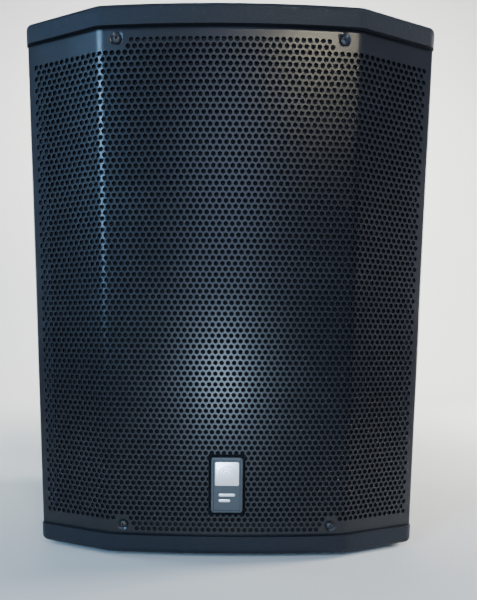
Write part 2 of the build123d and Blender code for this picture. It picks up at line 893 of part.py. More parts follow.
# ---------------------------------------------------------------- the crossover
def standoff_place(side, end):
    return (
        side * (board_width / 2 - standoff_inset),
        board_y + end * (board_depth / 2 - standoff_inset),
    )


def crossover_board():
    board = Pos(0, board_y, (board_z + board_top) / 2) * Box(board_width, board_depth, board_thickness)
    for side in (-1, 1):
        for end in (-1, 1):
            x, y = standoff_place(side, end)
            board -= Pos(x, y, board_z) * rod(1.7, -1, 5)
    return board


def crossover_standoffs():
    """Four spacers with their screws, under and through the board's corners."""
    parts = []
    for side in (-1, 1):
        for end in (-1, 1):
            x, y = standoff_place(side, end)
            spacer = rod(3.5, fit_gap, standoff_height - fit_gap) - rod(1.6, -1, standoff_height + 1)
            parts.append(Pos(x, y, z_bay) * spacer)
            bolt = screw(3.0, 2.0, 1.3, standoff_height + board_thickness + 7, 1.0)
            parts.append(Pos(x, y, board_top + fit_gap) * bolt)
    return group(parts)


def crossover_coils():
    """One large upright coil, one flat one and a small one, each wound on a bobbin."""
    z0 = board_top + fit_gap
    parts = []
    for x, radius, height in ((-46, 19, 24), (-5, 17, 20), (29, 13, 16)):
        bobbin = rod(radius, 0, 2) + rod(radius, height - 2, height) + rod(radius * 0.45, 0, height)
        winding = rod(radius - 1.5, 2, height - 2)
        parts.append(Pos(x, board_y - 4, z0) * (bobbin + winding - rod(radius * 0.3, -1, height + 1)))
    return group(parts)


def crossover_capacitors():
    z0 = board_top + fit_gap
    parts = []
    for x, radius, length in ((-46, 6.5, 30), (-12, 6.5, 26), (18, 5.5, 24)):
        can = Location((x, board_y + 22, z0 + radius), (0, 90, 0)) * Cylinder(radius, length)
        parts.append(can)
    return group(parts)


def crossover_resistors():
    z0 = board_top + fit_gap
    parts = []
    for y in (-12, 2, 16):
        parts.append(Pos(58, board_y + y, z0 + 4.5) * Box(22, 9, 9))
    return group(parts)


# ---------------------------------------------------------------- the input plate
def input_frame():
    return to_rear(0, y_rear, input_z)


def input_rim_plate(thickness, grow=0.0, top=0.0):
    """The dish's flat rim as it lies in the rear panel's rebate."""
    width = input_width + 2 * (input_rim + grow)
    return plate(width, input_height + 2 * (input_rim + grow), 10, -thickness, top)


def socket_places():
    return [(-socket_spread / 2 - 20, 0), (socket_spread / 2 - 20, 0)]


def input_plate():
    body = input_rim_plate(input_wall)
    body += plate(
        input_width + 2 * input_wall, input_height + 2 * input_wall, 8, -input_depth, -input_wall
    )
    body -= plate(input_width, input_height, 6, -input_depth + input_wall, 1)
    for x, y in socket_places():
        body -= Pos(x, y) * rod(12.2, -input_depth - 1, 0)
    body -= Pos(*jack_place) * rod(5.6, -input_depth - 1, 0)
    x, y = switch_place
    body -= Pos(x, y, -input_depth) * Box(15, 6, 20)
    for x, y in input_screw_points():
        body -= Pos(x, y) * flush_screw_hole()
    return input_frame() * body


def input_plate_screws():
    return group(
        [input_frame() * Pos(x, y) * flush_screw() for x, y in input_screw_points()]
    )


def flush_screw():
    """A flat-head screw with a hexagonal socket. The top of its head is at z = 0."""
    socket = extrude(RegularPolygon(1.4, 6), amount=-1.0)
    head = rod(flush_head_radius, -flush_head_height, 0) - socket
    return head + rod(1.4, -flush_length, -flush_head_height)


def flush_screw_hole():
    """The countersink and clearance hole for a flat-head screw."""
    sink = rod(flush_head_radius + fit_gap, -flush_head_height - fit_gap, 1)
    return sink + rod(1.8, -handle_wall - 1, 1)


def speaker_socket():
    """A round locking loudspeaker socket: a ring-shaped well round a centre post."""
    flange = plate(26, 30, 3, dish_floor, dish_floor + 2)
    collar = rod(13.0, dish_floor, dish_floor + 4)
    body = rod(12.0, -input_depth - 20, dish_floor + 1)
    well = rod(11.6, -input_depth - 14, dish_floor + 5) - rod(6.2, -input_depth - 14, dish_floor + 3)
    for x, y in ((-10.4, 12.4), (10.4, -12.4)):
        flange -= Pos(x, y) * rod(1.5, dish_floor - 1, dish_floor + 3)
    key = Pos(0, 10.9, dish_floor) * Box(3, 2.2, 6)
    return flange + collar + body - well + key


def speaker_sockets():
    return input_frame() * group([Pos(x, y) * speaker_socket() for x, y in socket_places()])


def phone_jack():
    nut = Pos(0, 0, dish_floor) * extrude(RegularPolygon(8.0, 6), amount=3.0)
    sleeve = rod(5.4, -input_depth - 2, dish_floor + 4.5)
    body = Pos(0, 0, -input_depth - 15) * Box(17, 17, 29)
    body = body & rod(30, -input_depth - 29, -input_depth - fit_gap)
    jack = nut + sleeve + body - rod(jack_radius, -input_depth - 25, dish_floor + 6)
    return input_frame() * Pos(*jack_place) * jack


def mode_switch_body():
    """The slide switch's case, behind the dish, and its bezel inside it."""
    bezel = plate(24, 12, 2, dish_floor, dish_floor + 1.5)
    neck = Pos(0, 0, dish_floor - 2.5) * Box(switch_slot[0] + 2, switch_slot[1] + 1.4, 6)
    case = Pos(0, 0, -input_depth - 6 - fit_gap) * Box(22, 10, 12)
    slot = Pos(0, 0, dish_floor - 3) * Box(*switch_slot, 14)
    return input_frame() * Pos(*switch_place) * (bezel + neck + case - slot)


def mode_switch_slider():
    """The sliding button, at the left end of its slot."""
    slot_length, slot_width = switch_slot
    length = slot_length - switch_travel - 2 * running_gap
    left = -slot_length / 2 + running_gap
    half = slot_width / 2 - running_gap
    z0, z1 = dish_floor - 9, dish_floor + 4.0
    tab = block(left, left + length, -half, half, z0, z1)
    for i in range(3):
        x = left + length * (i + 1) / 4
        tab -= Pos(x, 0, z1) * Box(0.6, 6, 0.8)
    return input_frame() * Pos(*switch_place) * tab


# ---------------------------------------------------------------- handles
def handle_rim_plate(thickness, grow=0.0, top=0.0):
    """The flat rim round the grip, as it lies in the side panel's rebate."""
    height = handle_height + 2 * (handle_rim + grow)
    length = handle_length + 2 * (handle_rim + grow)
    return plate(height, length, 14, -thickness, top)


def handle():
    """A moulded cup with a grip bar across it, let into the right side panel."""
    body = handle_rim_plate(handle_wall)
    body += plate(
        handle_height + 2 * handle_wall, handle_length + 2 * handle_wall, 12, -handle_depth, -1
    )
    body -= plate(handle_height, handle_length, 9, -handle_depth + handle_wall, 1)
    bar_x = -handle_height / 2 + bar_drop + bar_height / 2
    bar = Pos(bar_x, 0, -bar_thickness / 2 - 1) * Box(bar_height, handle_length + 2, bar_thickness)
    long_edges = bar.edges().filter_by(Axis.Y)
    body += fillet(long_edges, 6.0)
    for x, y in handle_screw_points():
        body -= Pos(x, y) * flush_screw_hole()
    return to_right(half_width, handle_y, handle_z) * body


def handle_screws():
    frame = to_right(half_width, handle_y, handle_z)
    right = [frame * Pos(x, y) * flush_screw() for x, y in handle_screw_points()]
    return group(right + [mirrored(s) for s in right])


# ---------------------------------------------------------------- pole socket, points and feet
def pole_socket():
    tube = rod(pole_radius + pole_wall, 0, pole_depth + pole_wall)
    tube += rod(pole_flange_radius, 0, pole_flange)
    tube -= rod(pole_radius, -1, pole_depth)
    for x, y in on_circle(pole_screw_circle, 4, 45):
        tube -= Pos(x, y) * rod(1.9, -1, pole_flange + 1)
    return Pos(0, pole_y, z_panel) * tube


def pole_socket_screws():
    return group(
        [
            Pos(x, y + pole_y, z_panel - fit_gap) * Rot(180, 0, 0) * screw(3.4, 2.0, 1.5, 15, 1.1)
            for x, y in on_circle(pole_screw_circle, 4, 45)
        ]
    )


def suspension_insert():
    """A flanged threaded insert, pulled in from the inside. Its mouth is at z = 0."""
    body = rod(insert_radius - fit_gap, -panel_thickness + 0.5, -0.5)
    body += rod(insert_flange_radius, -panel_thickness - insert_flange, -panel_thickness - fit_gap)
    body += rod(insert_radius - fit_gap, -panel_thickness - insert_flange, -panel_thickness + 1)
    return body - rod(thread_radius, -panel_thickness - insert_flange - 1, 1)


def suspension_inserts():
    insert, upside_down = suspension_insert(), Rot(180, 0, 0)
    tops = [Pos(x, y, z_top) * insert for x, y in suspension_points()]
    lows = [Pos(x, y, z_panel) * upside_down * insert for x, y in suspension_points()]
    return group(tops + lows)


def foot():
    """A round rubber foot that stands out to z = foot_height, with a sunk screw hole."""
    body = turned(
        (0, fit_gap),
        (foot_radius, fit_gap),
        (foot_radius - 1.5, foot_height),
        (0, foot_height),
    )
    return body - rod(4.4, 1.6, foot_height + 1) - rod(2.1, -1, foot_height)


def foot_screw():
    head = rod(4.0, 1.7, 3.2) - Pos(0, 0, 2.3) * extrude(RegularPolygon(1.5, 6), amount=2)
    return head + rod(1.7, -13, 1.8)


def bottom_feet():
    return group([Pos(x, y, z_panel) * Rot(180, 0, 0) * foot() for x, y in foot_places()])


def monitor_feet():
    right = [frame * foot() for frame in angled_foot_frames()]
    return group(right + [mirrored(f) for f in right])


def foot_screws():
    low = [Pos(x, y, z_panel) * Rot(180, 0, 0) * foot_screw() for x, y in foot_places()]
    right = [frame * foot_screw() for frame in angled_foot_frames()]
    return group(low + right + [mirrored(f) for f in right])


# ---------------------------------------------------------------- damping and leads
def rear_damping_pad():
    y1 = y_rear - panel_thickness - fit_gap
    half = rear_half_width - 34
    return block(-half, half, y1 - pad_thickness, y1, pad_low, pad_high)


def side_damping_pads():
    wall = hypot(half_width - rear_half_width, y_rear - y_side_end)
    middle = to_angled_wall(wall / 2 + 4, (pad_low + pad_high) / 2)
    depth = -panel_thickness - fit_gap - pad_thickness / 2
    pad = middle * Pos(0, 0, depth) * Box(pad_high - pad_low, wall - 60, pad_thickness)
    return group([pad, mirrored(pad)])


def lead(*points):
    """A two-core lead, each of whose arcs is as large as its two runs allow."""
    spots = [Vector(*p) for p in points]
    radii = []
    for before, corner, after in zip(spots, spots[1:], spots[2:]):
        turn = radians((corner - before).get_angle(after - corner))
        shorter = min((corner - before).length, (after - corner).length)
        radii.append(0.45 * shorter / tan(turn / 2))
    path = FilletPolyline(*points, radius=radii)
    start = Plane(origin=path @ 0, z_dir=path % 0)
    return sweep(start * Circle(lead_radius), path=path)


def plug(x, y, z, width, depth, height):
    """The housing on the end of a lead."""
    return Pos(x, y, z) * Box(width, depth, height)


def woofer_lead():
    """From the front edge of the crossover, past the pole socket, to the woofer's tags."""
    z = board_top + 4
    edge = board_y - board_depth / 2
    tag_y = baffle_front + basket_depth + 2.5
    tag_z = woofer_z - basket_base_radius - 23.6
    side = -(pole_radius + pole_wall + 20)
    cable = lead(
        (-30, edge + 5, z),
        (-34, edge - 16, z + 6),
        (side, edge - 48, z + 22),
        (side, tag_y + 24, tag_z - 6),
        (-24, tag_y + 4, tag_z - 1),
        (0, tag_y, tag_z),
    )
    housings = plug(-30, edge + 3, z, 12, 8, 7) + plug(0, tag_y, tag_z, 14, 7, 9)
    return cable + housings


def tweeter_lead():
    """From the crossover, up behind the woofer and in front of the brace, to the driver."""
    z = board_top + 4
    edge = board_y - board_depth / 2
    rear = baffle_front + horn_depth + driver_length + 17 + 6
    cable = lead(
        (-54, edge + 5, z),
        (-62, edge - 12, z + 10),
        (-84, edge - 28, z + 50),
        (-98, brace_front - 6, z + 105),
        (-104, brace_front - 12, z + 165),
        (-104, brace_front - 12, z + 225),
        (-94, brace_front - 4, z + 280),
        (-72, rear + 2, z + 325),
        (-48, rear, horn_z - 22),
        (-14, rear, horn_z),
    )
    housings = plug(-54, edge + 3, z, 12, 8, 7) + plug(-10, rear, horn_z, 12, 11, 9)
    return cable + housings


def input_lead():
    """From the sockets behind the rear dish down to the crossover's rear edge."""
    z = board_top + 4
    edge = board_y + board_depth / 2
    back = y_rear - input_depth - 20
    cable = lead(
        (-20, back - 4, input_z - 4),
        (-19, back - 20, input_z - 18),
        (-12, back - 23, input_z - 48),
        (4, back - 20, z + 56),
        (28, back - 8, z + 34),
        (44, edge - 9, z + 16),
        (50, edge - 7, z),
    )
    housings = plug(50, edge - 6, z, 12, 8, 7) + plug(-20, back - 4.1, input_z, 16, 8, 12)
    return cable + housings


# ---------------------------------------------------------------- every node
def nodes():
    right_side, right_angled, right_handle = side_panel(), angled_panel(), handle()
    made = {
        "top_panel": top_panel(),
        "bottom_panel": bottom_panel(),
        "left_side_panel": mirrored(right_side),
        "right_side_panel": right_side,
        "left_rear_panel": mirrored(right_angled),
        "right_rear_panel": right_angled,
        "rear_panel": rear_panel(),
        "baffle": baffle(),
        "grille_rails": grille_rails(),
        "brace": brace(),
        "grille": grille(),
        "grille_foam": grille_foam(),
        "grille_screws": grille_screws(),
        "badge_plate": badge_plate(),
        "badge_inlay": badge_inlay(),
        "woofer_basket": woofer_basket(),
        "woofer_gasket": woofer_gasket(),
        "woofer_bolts": woofer_bolt_set(),
        "woofer_surround": woofer_surround(),
        "woofer_cone": woofer_cone(),
        "woofer_dust_cap": woofer_dust_cap(),
        "woofer_voice_coil": voice_coil(),
        "woofer_spider": woofer_spider(),
        "woofer_spider_ring": spider_ring(),
        "woofer_top_plate": motor_top_plate(),
        "woofer_magnet": motor_magnet(),
        "woofer_yoke": motor_yoke(),
        "woofer_terminals": woofer_terminals(),
        "horn": horn(),
        "horn_screws": horn_screws(),
        "horn_driver_motor": driver_motor(),
        "horn_driver_cover": driver_cover(),
        "horn_driver_diaphragm": driver_diaphragm(),
        "horn_driver_bolts": driver_bolts(),
        "port_tubes": port_tubes(),
        "crossover_board": crossover_board(),
        "crossover_standoffs": crossover_standoffs(),
        "crossover_coils": crossover_coils(),
        "crossover_capacitors": crossover_capacitors(),
        "crossover_resistors": crossover_resistors(),
        "input_plate": input_plate(),
        "input_plate_screws": input_plate_screws(),
        "speaker_sockets": speaker_sockets(),
        "phone_jack": phone_jack(),
        "mode_switch_body": mode_switch_body(),
        "mode_switch_slider": mode_switch_slider(),
        "left_handle": mirrored(right_handle),
        "right_handle": right_handle,
        "handle_screws": handle_screws(),
        "pole_socket": pole_socket(),
        "pole_socket_screws": pole_socket_screws(),
        "suspension_inserts": suspension_inserts(),
        "bottom_feet": bottom_feet(),
        "monitor_feet": monitor_feet(),
        "foot_screws": foot_screws(),
        "rear_damping_pad": rear_damping_pad(),
        "side_damping_pads": side_damping_pads(),
        "woofer_lead": woofer_lead(),
        "tweeter_lead": tweeter_lead(),
        "input_lead": input_lead(),
    }
    return made


os.makedirs("parts", exist_ok=True)
for name, shape in nodes().items():
    export_step(shape, f"parts/{name}.step")
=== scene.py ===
"""The looks of a two-way loudspeaker cabinet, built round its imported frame.

It is laid out as an add-on and run as a script. Lengths are in metres. The grille faces -Y, and
the origin is the middle of the footprint on the floor.
"""
import json
import math

import bmesh
import bpy
from mathutils import Matrix, Vector
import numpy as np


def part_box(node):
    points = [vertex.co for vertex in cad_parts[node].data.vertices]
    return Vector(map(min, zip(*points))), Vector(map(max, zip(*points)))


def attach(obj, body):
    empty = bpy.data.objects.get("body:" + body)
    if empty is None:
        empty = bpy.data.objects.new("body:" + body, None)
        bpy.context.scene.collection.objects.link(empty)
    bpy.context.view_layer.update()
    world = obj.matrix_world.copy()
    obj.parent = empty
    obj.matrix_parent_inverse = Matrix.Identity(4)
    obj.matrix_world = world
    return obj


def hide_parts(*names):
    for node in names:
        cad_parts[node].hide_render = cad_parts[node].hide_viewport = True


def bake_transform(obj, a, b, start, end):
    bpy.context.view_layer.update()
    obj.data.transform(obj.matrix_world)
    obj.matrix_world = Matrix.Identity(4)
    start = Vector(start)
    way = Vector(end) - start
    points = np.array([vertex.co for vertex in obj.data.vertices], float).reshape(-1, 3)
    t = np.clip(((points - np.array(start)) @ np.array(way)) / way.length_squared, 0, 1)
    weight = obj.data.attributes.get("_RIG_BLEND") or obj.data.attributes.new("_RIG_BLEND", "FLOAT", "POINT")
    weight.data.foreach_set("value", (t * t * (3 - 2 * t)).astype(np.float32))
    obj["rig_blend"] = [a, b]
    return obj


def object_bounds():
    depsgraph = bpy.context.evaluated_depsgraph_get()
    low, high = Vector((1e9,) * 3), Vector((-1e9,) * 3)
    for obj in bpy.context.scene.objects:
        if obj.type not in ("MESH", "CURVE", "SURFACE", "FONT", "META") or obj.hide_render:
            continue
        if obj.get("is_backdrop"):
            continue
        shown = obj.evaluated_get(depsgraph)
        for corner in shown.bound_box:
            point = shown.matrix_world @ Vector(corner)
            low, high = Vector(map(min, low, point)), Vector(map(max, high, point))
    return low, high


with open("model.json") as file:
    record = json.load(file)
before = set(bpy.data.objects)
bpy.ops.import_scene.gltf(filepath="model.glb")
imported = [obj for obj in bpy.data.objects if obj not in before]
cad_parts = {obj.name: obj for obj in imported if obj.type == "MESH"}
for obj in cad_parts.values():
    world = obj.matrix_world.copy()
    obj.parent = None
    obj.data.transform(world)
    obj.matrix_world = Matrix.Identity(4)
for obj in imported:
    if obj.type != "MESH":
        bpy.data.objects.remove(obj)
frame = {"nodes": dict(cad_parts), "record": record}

bl_info = {
    "name": "Loudspeaker Cabinet",
    "version": (1, 0, 0),
    "blender": (4, 5, 0),
    "location": "3D View > Sidebar > Cabinet",
    "description": "Perforated grille, badge, suspension, padding and finishes of a stage loudspeaker",
    "category": "Add Mesh",
}

MATERIAL_PREFIX = "cabinet_"
MM = 0.001
FACET_ANGLE = math.radians(22.0)
FRONT_BOW = 6.0 * MM
BEND_X = 127.0 * MM
GRILLE_SETBACK = 4.0 * MM
BEND_RADIUS = 30.0 * MM
CORNER_RADIUS = 4.0 * MM
SHEET = 1.5 * MM
SCREW_X = 110.0 * MM
SCREW_EDGE = 10.0 * MM
GRILLE_LOW, GRILLE_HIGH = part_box("grille")
BADGE_LOW, BADGE_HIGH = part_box("badge_plate")

SEAM_INSET = 0.6 * MM  # of the grille's two seams, inside the start of its bends
DIMPLE_CLEARANCE = 0.8 * MM
DIMPLE_PROFILE = ((0.93, 0.12), (0.62, 0.86), (0.52, 1.0), (0.42, 1.0))  # shares of radius, depth
BOW_CUTS, CORNER_CUTS = 4, 7  # cuts across each bend and each outer corner
FOAM_SETBACK = 1.9 * MM  # behind the grille's face
FOAM_SIDE_GAP = 2.0 * MM

SCREW_OUTLINE = (  # (radius, height) in millimetres
    (0.0, 2.4),
    (1.5, 2.3),
    (2.7, 1.9),
    (3.5, 1.2),
    (3.8, 0.5),
    (3.8, 0.0),
    (2.0, 0.0),
    (2.0, -16.0),
    (0.0, -16.0),
)
SCREW_CROWN = 1.95 * MM  # the head above this height gives way to its socket
SOCKET_RADIUS, SOCKET_TOP, SOCKET_DEPTH = 1.45 * MM, 2.3 * MM, 1.5 * MM

BADGE_CORNER, BADGE_EDGE = 3.2 * MM, 0.7 * MM
BADGE_FRAME, BADGE_STEP, BADGE_RECESS = 1.7 * MM, 0.5 * MM, 0.8 * MM
TILE_MARGIN, TILE_TOP_GAP = 4.0 * MM, 5.0 * MM  # to the badge's sides and to its top edge
TILE_CORNER, TILE_HEIGHT, TILE_EDGE = 1.4 * MM, 0.6 * MM, 0.25 * MM
RING_RADII, RING_WIDTH, RING_SLOPE = (8.4 * MM, 5.6 * MM, 2.4 * MM), 1.0 * MM, 0.3 * MM
RING_LOW, RING_HIGH = 0.55 * MM, 0.78 * MM
BAR_LENGTHS, BAR_WIDTH, BAR_HEIGHT = (17.0 * MM, 12.0 * MM), 3.0 * MM, 0.5 * MM
BAR_CORNER, BAR_EDGE = 1.3 * MM, 0.2 * MM
BAR_LEVEL, BAR_STEP = 19.0 * MM, 6.0 * MM  # first bar over the badge's lower edge, and the next

SIDE_PAD_THICKNESS = 22.0 * MM
SIDE_PAD_SHARE = 0.985  # of the room that the pad fills

FLOOR_FRONT, FLOOR_HALF_WIDTH = -5.0, 6.0
WALL_Y, WALL_TOP, COVE_RADIUS = 2.2, 4.5, 0.7
CAMERA_PLACE = (-0.0017, -0.6909, 0.2267)
CAMERA_TURN, CAMERA_PITCH, CAMERA_ROLL = -0.05, -6.5, 0.46  # degrees
CAMERA_LENS, CAMERA_SHIFT = 31.16, (0.0202, 0.170)
LAMPS = (  # name, place, aim, width, height, watts, colour, spread in degrees
    ("warm_lamp", (0.72, -2.0, 1.93), (0.092, -0.16, 0.52), 0.30, 0.18, 0.88, (1.0, 0.90, 0.66), 32.0),
    ("cool_lamp", (-0.028, -1.665, 0.103), (-0.013, -0.16, 0.194), 0.12, 0.16, 7.0,
        (0.56, 0.76, 1.0), 180.0),
    ("window", (-1.53, -1.77, 1.2), (-0.126, -0.16, 0.386), 0.20, 1.3, 5.2, (0.30, 0.60, 1.0), 55.0),
    ("front_fill", (0.0, -2.2, 1.0), (0.0, -0.16, 0.36), 0.5, 0.9, 6.0, (0.50, 0.66, 1.0), 180.0),
    ("wall_wash", (0.0, 1.0, 1.5), (0.0, 2.2, 1.0), 2.6, 0.4, 84.0, (1.0, 0.99, 0.95), 180.0),
    ("left_wash", (-1.7, 0.3, 0.6), (0.3, 1.7, 0.0), 0.6, 0.6, 24.0, (0.72, 0.88, 1.0), 180.0),
    ("right_wash", (1.7, 0.3, 0.6), (-0.3, 1.7, 0.0), 0.6, 0.6, 92.0, (1.0, 0.98, 0.95), 180.0),
)
ROOM_COLOUR, ROOM_STRENGTH = (0.52, 0.66, 0.98, 1.0), 0.48


# ---------------------------------------------------------------- sizes and colours
def length(name, default, description):
    return bpy.props.FloatProperty(
        name=name, default=default, description=description, unit="LENGTH", precision=5, min=0.0
    )


def colour(name, default, description):
    return bpy.props.FloatVectorProperty(
        name=name, default=default, description=description, subtype="COLOR", size=3, min=0, max=1
    )


class CabinetSizes(bpy.types.PropertyGroup):
    hole_width: length("Hole", 4.76 * MM, "Diameter of each hole in the grille")
    hole_pitch: length("Pitch", 6.35 * MM, "Distance between neighbouring holes")
    hole_sides: bpy.props.IntProperty(
        name="Hole sides", default=10, min=6, max=24, description="Straight sides that round a hole"
    )
    top_row: length("Top row", 11.6 * MM, "From the grille's top edge to its first row of holes")
    side_border: length("Side border", 6.5 * MM, "Blank steel beside the grille's outer edges")
    notch_start: length("Notch", 95.8 * MM, "From the middle to the blank steel round each screw")
    notch_step: length("Notch step", 3.2 * MM, "How much further out each next row starts it")
    dimple_width: length("Dimple", 12.4 * MM, "Diameter of the pressed dimple round each screw")
    dimple_depth: length("Dimple depth", 1.7 * MM, "Depth of the pressed dimple")
    badge_gap: length("Badge gap", 2.8 * MM, "Open gap in the grille round the badge")
    foam_depth: length("Foam", 4.6 * MM, "Thickness of the foam behind the grille")


class CabinetColours(bpy.types.PropertyGroup):
    paint: colour("Paint", (0.008, 0.010, 0.015), "Textured paint of the box")
    grille: colour("Grille", (0.005, 0.005, 0.007), "Powder coat of the grille")
    plastic: colour("Plastic", (0.016, 0.016, 0.017), "Moulded handles, horn and sockets")
    badge: colour("Badge", (0.050, 0.058, 0.064), "Plate of the badge")
    foil: colour("Foil", (0.97, 0.98, 0.98), "Bright tile and bars of the badge")
    wood: colour("Wood", (0.46, 0.33, 0.20), "Bare plywood inside the box")
    floor: colour("Floor", (0.70, 0.70, 0.66), "Floor and backdrop")


def sizes():
    return bpy.context.scene.cabinet_sizes


def colours():
    return bpy.context.scene.cabinet_colours


# ---------------------------------------------------------------- shader maths
def math_node(tree, operation, *values):
    node = tree.nodes.new("ShaderNodeMath")
    node.operation = operation
    for inlet, value in zip(node.inputs, values):
        if isinstance(value, Value):
            tree.links.new(value.socket, inlet)
        else:
            inlet.default_value = value
    return Value(node.outputs[0])


class Value:
    """A shader socket. Arithmetic on it adds Math nodes to its tree."""

    def __init__(self, socket):
        self.socket = socket
        self.tree = socket.id_data

    def __add__(self, other):
        return math_node(self.tree, "ADD", self, other)

    def __sub__(self, other):
        return math_node(self.tree, "SUBTRACT", self, other)

    def __rsub__(self, other):
        return math_node(self.tree, "SUBTRACT", other, self)

    def __mul__(self, other):
        return math_node(self.tree, "MULTIPLY", self, other)

    def __truediv__(self, other):
        return math_node(self.tree, "DIVIDE", self, other)

    def __abs__(self):
        return math_node(self.tree, "ABSOLUTE", self)

    __radd__ = __add__
    __rmul__ = __mul__

    def above(self, start, end):
        """0 up to start, 1 from end on, and smooth between them."""
        node = self.tree.nodes.new("ShaderNodeMapRange")
        node.interpolation_type = "SMOOTHSTEP"
        self.tree.links.new(self.socket, node.inputs["Value"])
        node.inputs["From Min"].default_value = start
        node.inputs["From Max"].default_value = end
        return Value(node.outputs["Result"])


class Finish:
    """A material while its nodes are put together."""

    def __init__(self, name, **constants):
        self.material = bpy.data.materials.new(MATERIAL_PREFIX + name)
        self.material.use_nodes = True
        self.tree = self.material.node_tree
        self.tree.nodes.clear()
        self.shader = self.node("ShaderNodeBsdfPrincipled", {}, **constants)
        output = self.tree.nodes.new("ShaderNodeOutputMaterial")
        self.tree.links.new(self.shader.outputs["BSDF"], output.inputs["Surface"])
        self.place = self.node("ShaderNodeTexCoord").outputs["Object"]

    def node(self, kind, settings=None, **inlets):
        """A new node. Its settings come first, then the values or links of its sockets."""
        node = self.tree.nodes.new(kind)
        for key, value in (settings or {}).items():
            if key == "stops":
                for element, (position, shade) in zip(node.color_ramp.elements, value):
                    element.position = position
                    element.color = (*shade, 1.0)
            else:
                setattr(node, key, value)
        for key, value in inlets.items():
            self.feed(node, key.replace("_", " "), value)
        return node

    def feed(self, node, name, value):
        inlet = [i for i in node.inputs if i.name == name and i.enabled][0]
        if isinstance(value, Value):
            self.tree.links.new(value.socket, inlet)
        elif isinstance(value, bpy.types.NodeSocket):
            self.tree.links.new(value, inlet)
        elif isinstance(value, (tuple, list, Vector)) and len(value) == 3 and inlet.type == "RGBA":
            inlet.default_value = (*value, 1.0)
        else:
            inlet.default_value = value

    def set(self, **inlets):
        for key, value in inlets.items():
            self.feed(self.shader, key.replace("_", " "), value)
        return self

    def stretched(self, scale, turn=(0.0, 0.0, 0.0)):
        """Object coordinates, turned and stretched by a Mapping node."""
        node = self.node("ShaderNodeMapping", Vector=self.place, Scale=scale, Rotation=turn)
        return node.outputs["Vector"]

    def noise(self, scale, detail=3.0, roughness=0.5, place=None):
        node = self.node(
            "ShaderNodeTexNoise",
            Vector=place or self.place,
            Scale=scale,
            Detail=detail,
            Roughness=roughness,
        )
        return Value(node.outputs[0])

    def cells(self, scale, feature="F1", place=None):
        node = self.node(
            "ShaderNodeTexVoronoi", {"feature": feature}, Vector=place or self.place, Scale=scale
        )
        return Value(node.outputs["Distance"])

    def axis(self, name):
        node = self.node("ShaderNodeSeparateXYZ", Vector=self.place)
        return Value(node.outputs[name])

    def blend(self, share, first, second):
        """One colour fading into another as share goes from 0 to 1."""
        node = self.node("ShaderNodeMix", {"data_type": "RGBA"}, Factor=share, A=first, B=second)
        return [o for o in node.outputs if o.enabled][0]

    def relief(self, height, depth, strength=1.0):
        node = self.node("ShaderNodeBump", Height=height, Distance=depth, Strength=strength)
        return self.set(Normal=node.outputs["Normal"])


def tinted(shade, factor):
    return tuple(min(1.0, c * factor) for c in shade)


# ---------------------------------------------------------------- finishes
def textured_paint():
    """Sprayed paint with a coarse spatter, dusty in its hollows and rubbed near the box's ends."""
    shade = tuple(colours().paint)
    made = Finish("textured_paint", Specular_IOR_Level=0.28)
    spatter = made.cells(620.0, "SMOOTH_F1") * 0.7 + made.noise(1100.0, 4.0) * 0.6
    dust = made.noise(9.0, 5.0, 0.62).above(0.48, 0.75)
    low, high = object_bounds()
    ends = abs(made.axis("Z") - (low.z + high.z) / 2) / ((high.z - low.z) / 2)
    rubbed = ends.above(0.93, 0.995) * made.noise(160.0, 5.0, 0.7).above(0.55, 0.68)
    worn = made.blend(rubbed * 0.5, shade, tinted(shade, 3.2))
    made.set(Base_Color=made.blend(dust * 0.35, worn, tinted(shade, 1.9)))
    made.set(Roughness=0.50 + dust * 0.12 + made.noise(300.0) * 0.12 - rubbed * 0.1)
    return made.relief(spatter, 0.00032).material


def powder_coat(name, shade, roughness=0.36):
    """Baked powder coat: a fine orange peel and a little dust."""
    made = Finish(name, Specular_IOR_Level=0.5)
    peel = made.noise(1500.0, 2.0) + made.noise(420.0, 2.0) * 0.6
    dust = made.noise(14.0, 5.0, 0.6).above(0.45, 0.8)
    made.set(Base_Color=made.blend(dust * 0.4, shade, tinted(shade, 2.2)))
    made.set(Roughness=roughness + dust * 0.06 + made.noise(60.0) * 0.05)
    return made.relief(peel, 0.000014).material


def moulded_plastic(name, shade, roughness=0.42, grain=900.0, depth=0.00006):
    """Moulded plastic with a spark-eroded grain and faint flow marks."""
    made = Finish(name, Specular_IOR_Level=0.45)
    grains = made.noise(grain, 3.0, 0.6)
    handled = made.noise(26.0, 4.0, 0.6).above(0.5, 0.72)
    made.set(Base_Color=made.blend(handled * 0.3, shade, tinted(shade, 1.7)))
    made.set(Roughness=roughness - handled * 0.1 + grains * 0.1)
    return made.relief(grains, depth).material


def bare_metal(name, shade, roughness=0.3, along=(60.0, 2200.0, 2200.0), depth=0.00001):
    """Metal with the fine lines of brushing or turning, and a dull bloom."""
    made = Finish(name, Metallic=1.0)
    lines = made.noise(1.0, 4.0, 0.6, made.stretched(along))
    bloom = made.noise(45.0, 4.0).above(0.45, 0.75)
    made.set(Base_Color=made.blend(bloom * 0.5, shade, tinted(shade, 0.72)))
    made.set(Roughness=roughness + lines * 0.14 + bloom * 0.1)
    return made.relief(lines, depth).material


def plywood():
    """Raw birch plywood: long grain, pores and a few darker streaks."""
    shade = tuple(colours().wood)
    made = Finish("bare_plywood", Specular_IOR_Level=0.3)
    grain = made.noise(1.0, 5.0, 0.6, made.stretched((90.0, 90.0, 5.0)))
    pores = made.noise(1.0, 3.0, 0.6, made.stretched((1400.0, 1400.0, 60.0)))
    made.set(Base_Color=made.blend(grain, tinted(shade, 0.62), tinted(shade, 1.25)))
    made.set(Roughness=0.62 + pores * 0.2)
    return made.relief(pores + grain * 0.5, 0.0002).material


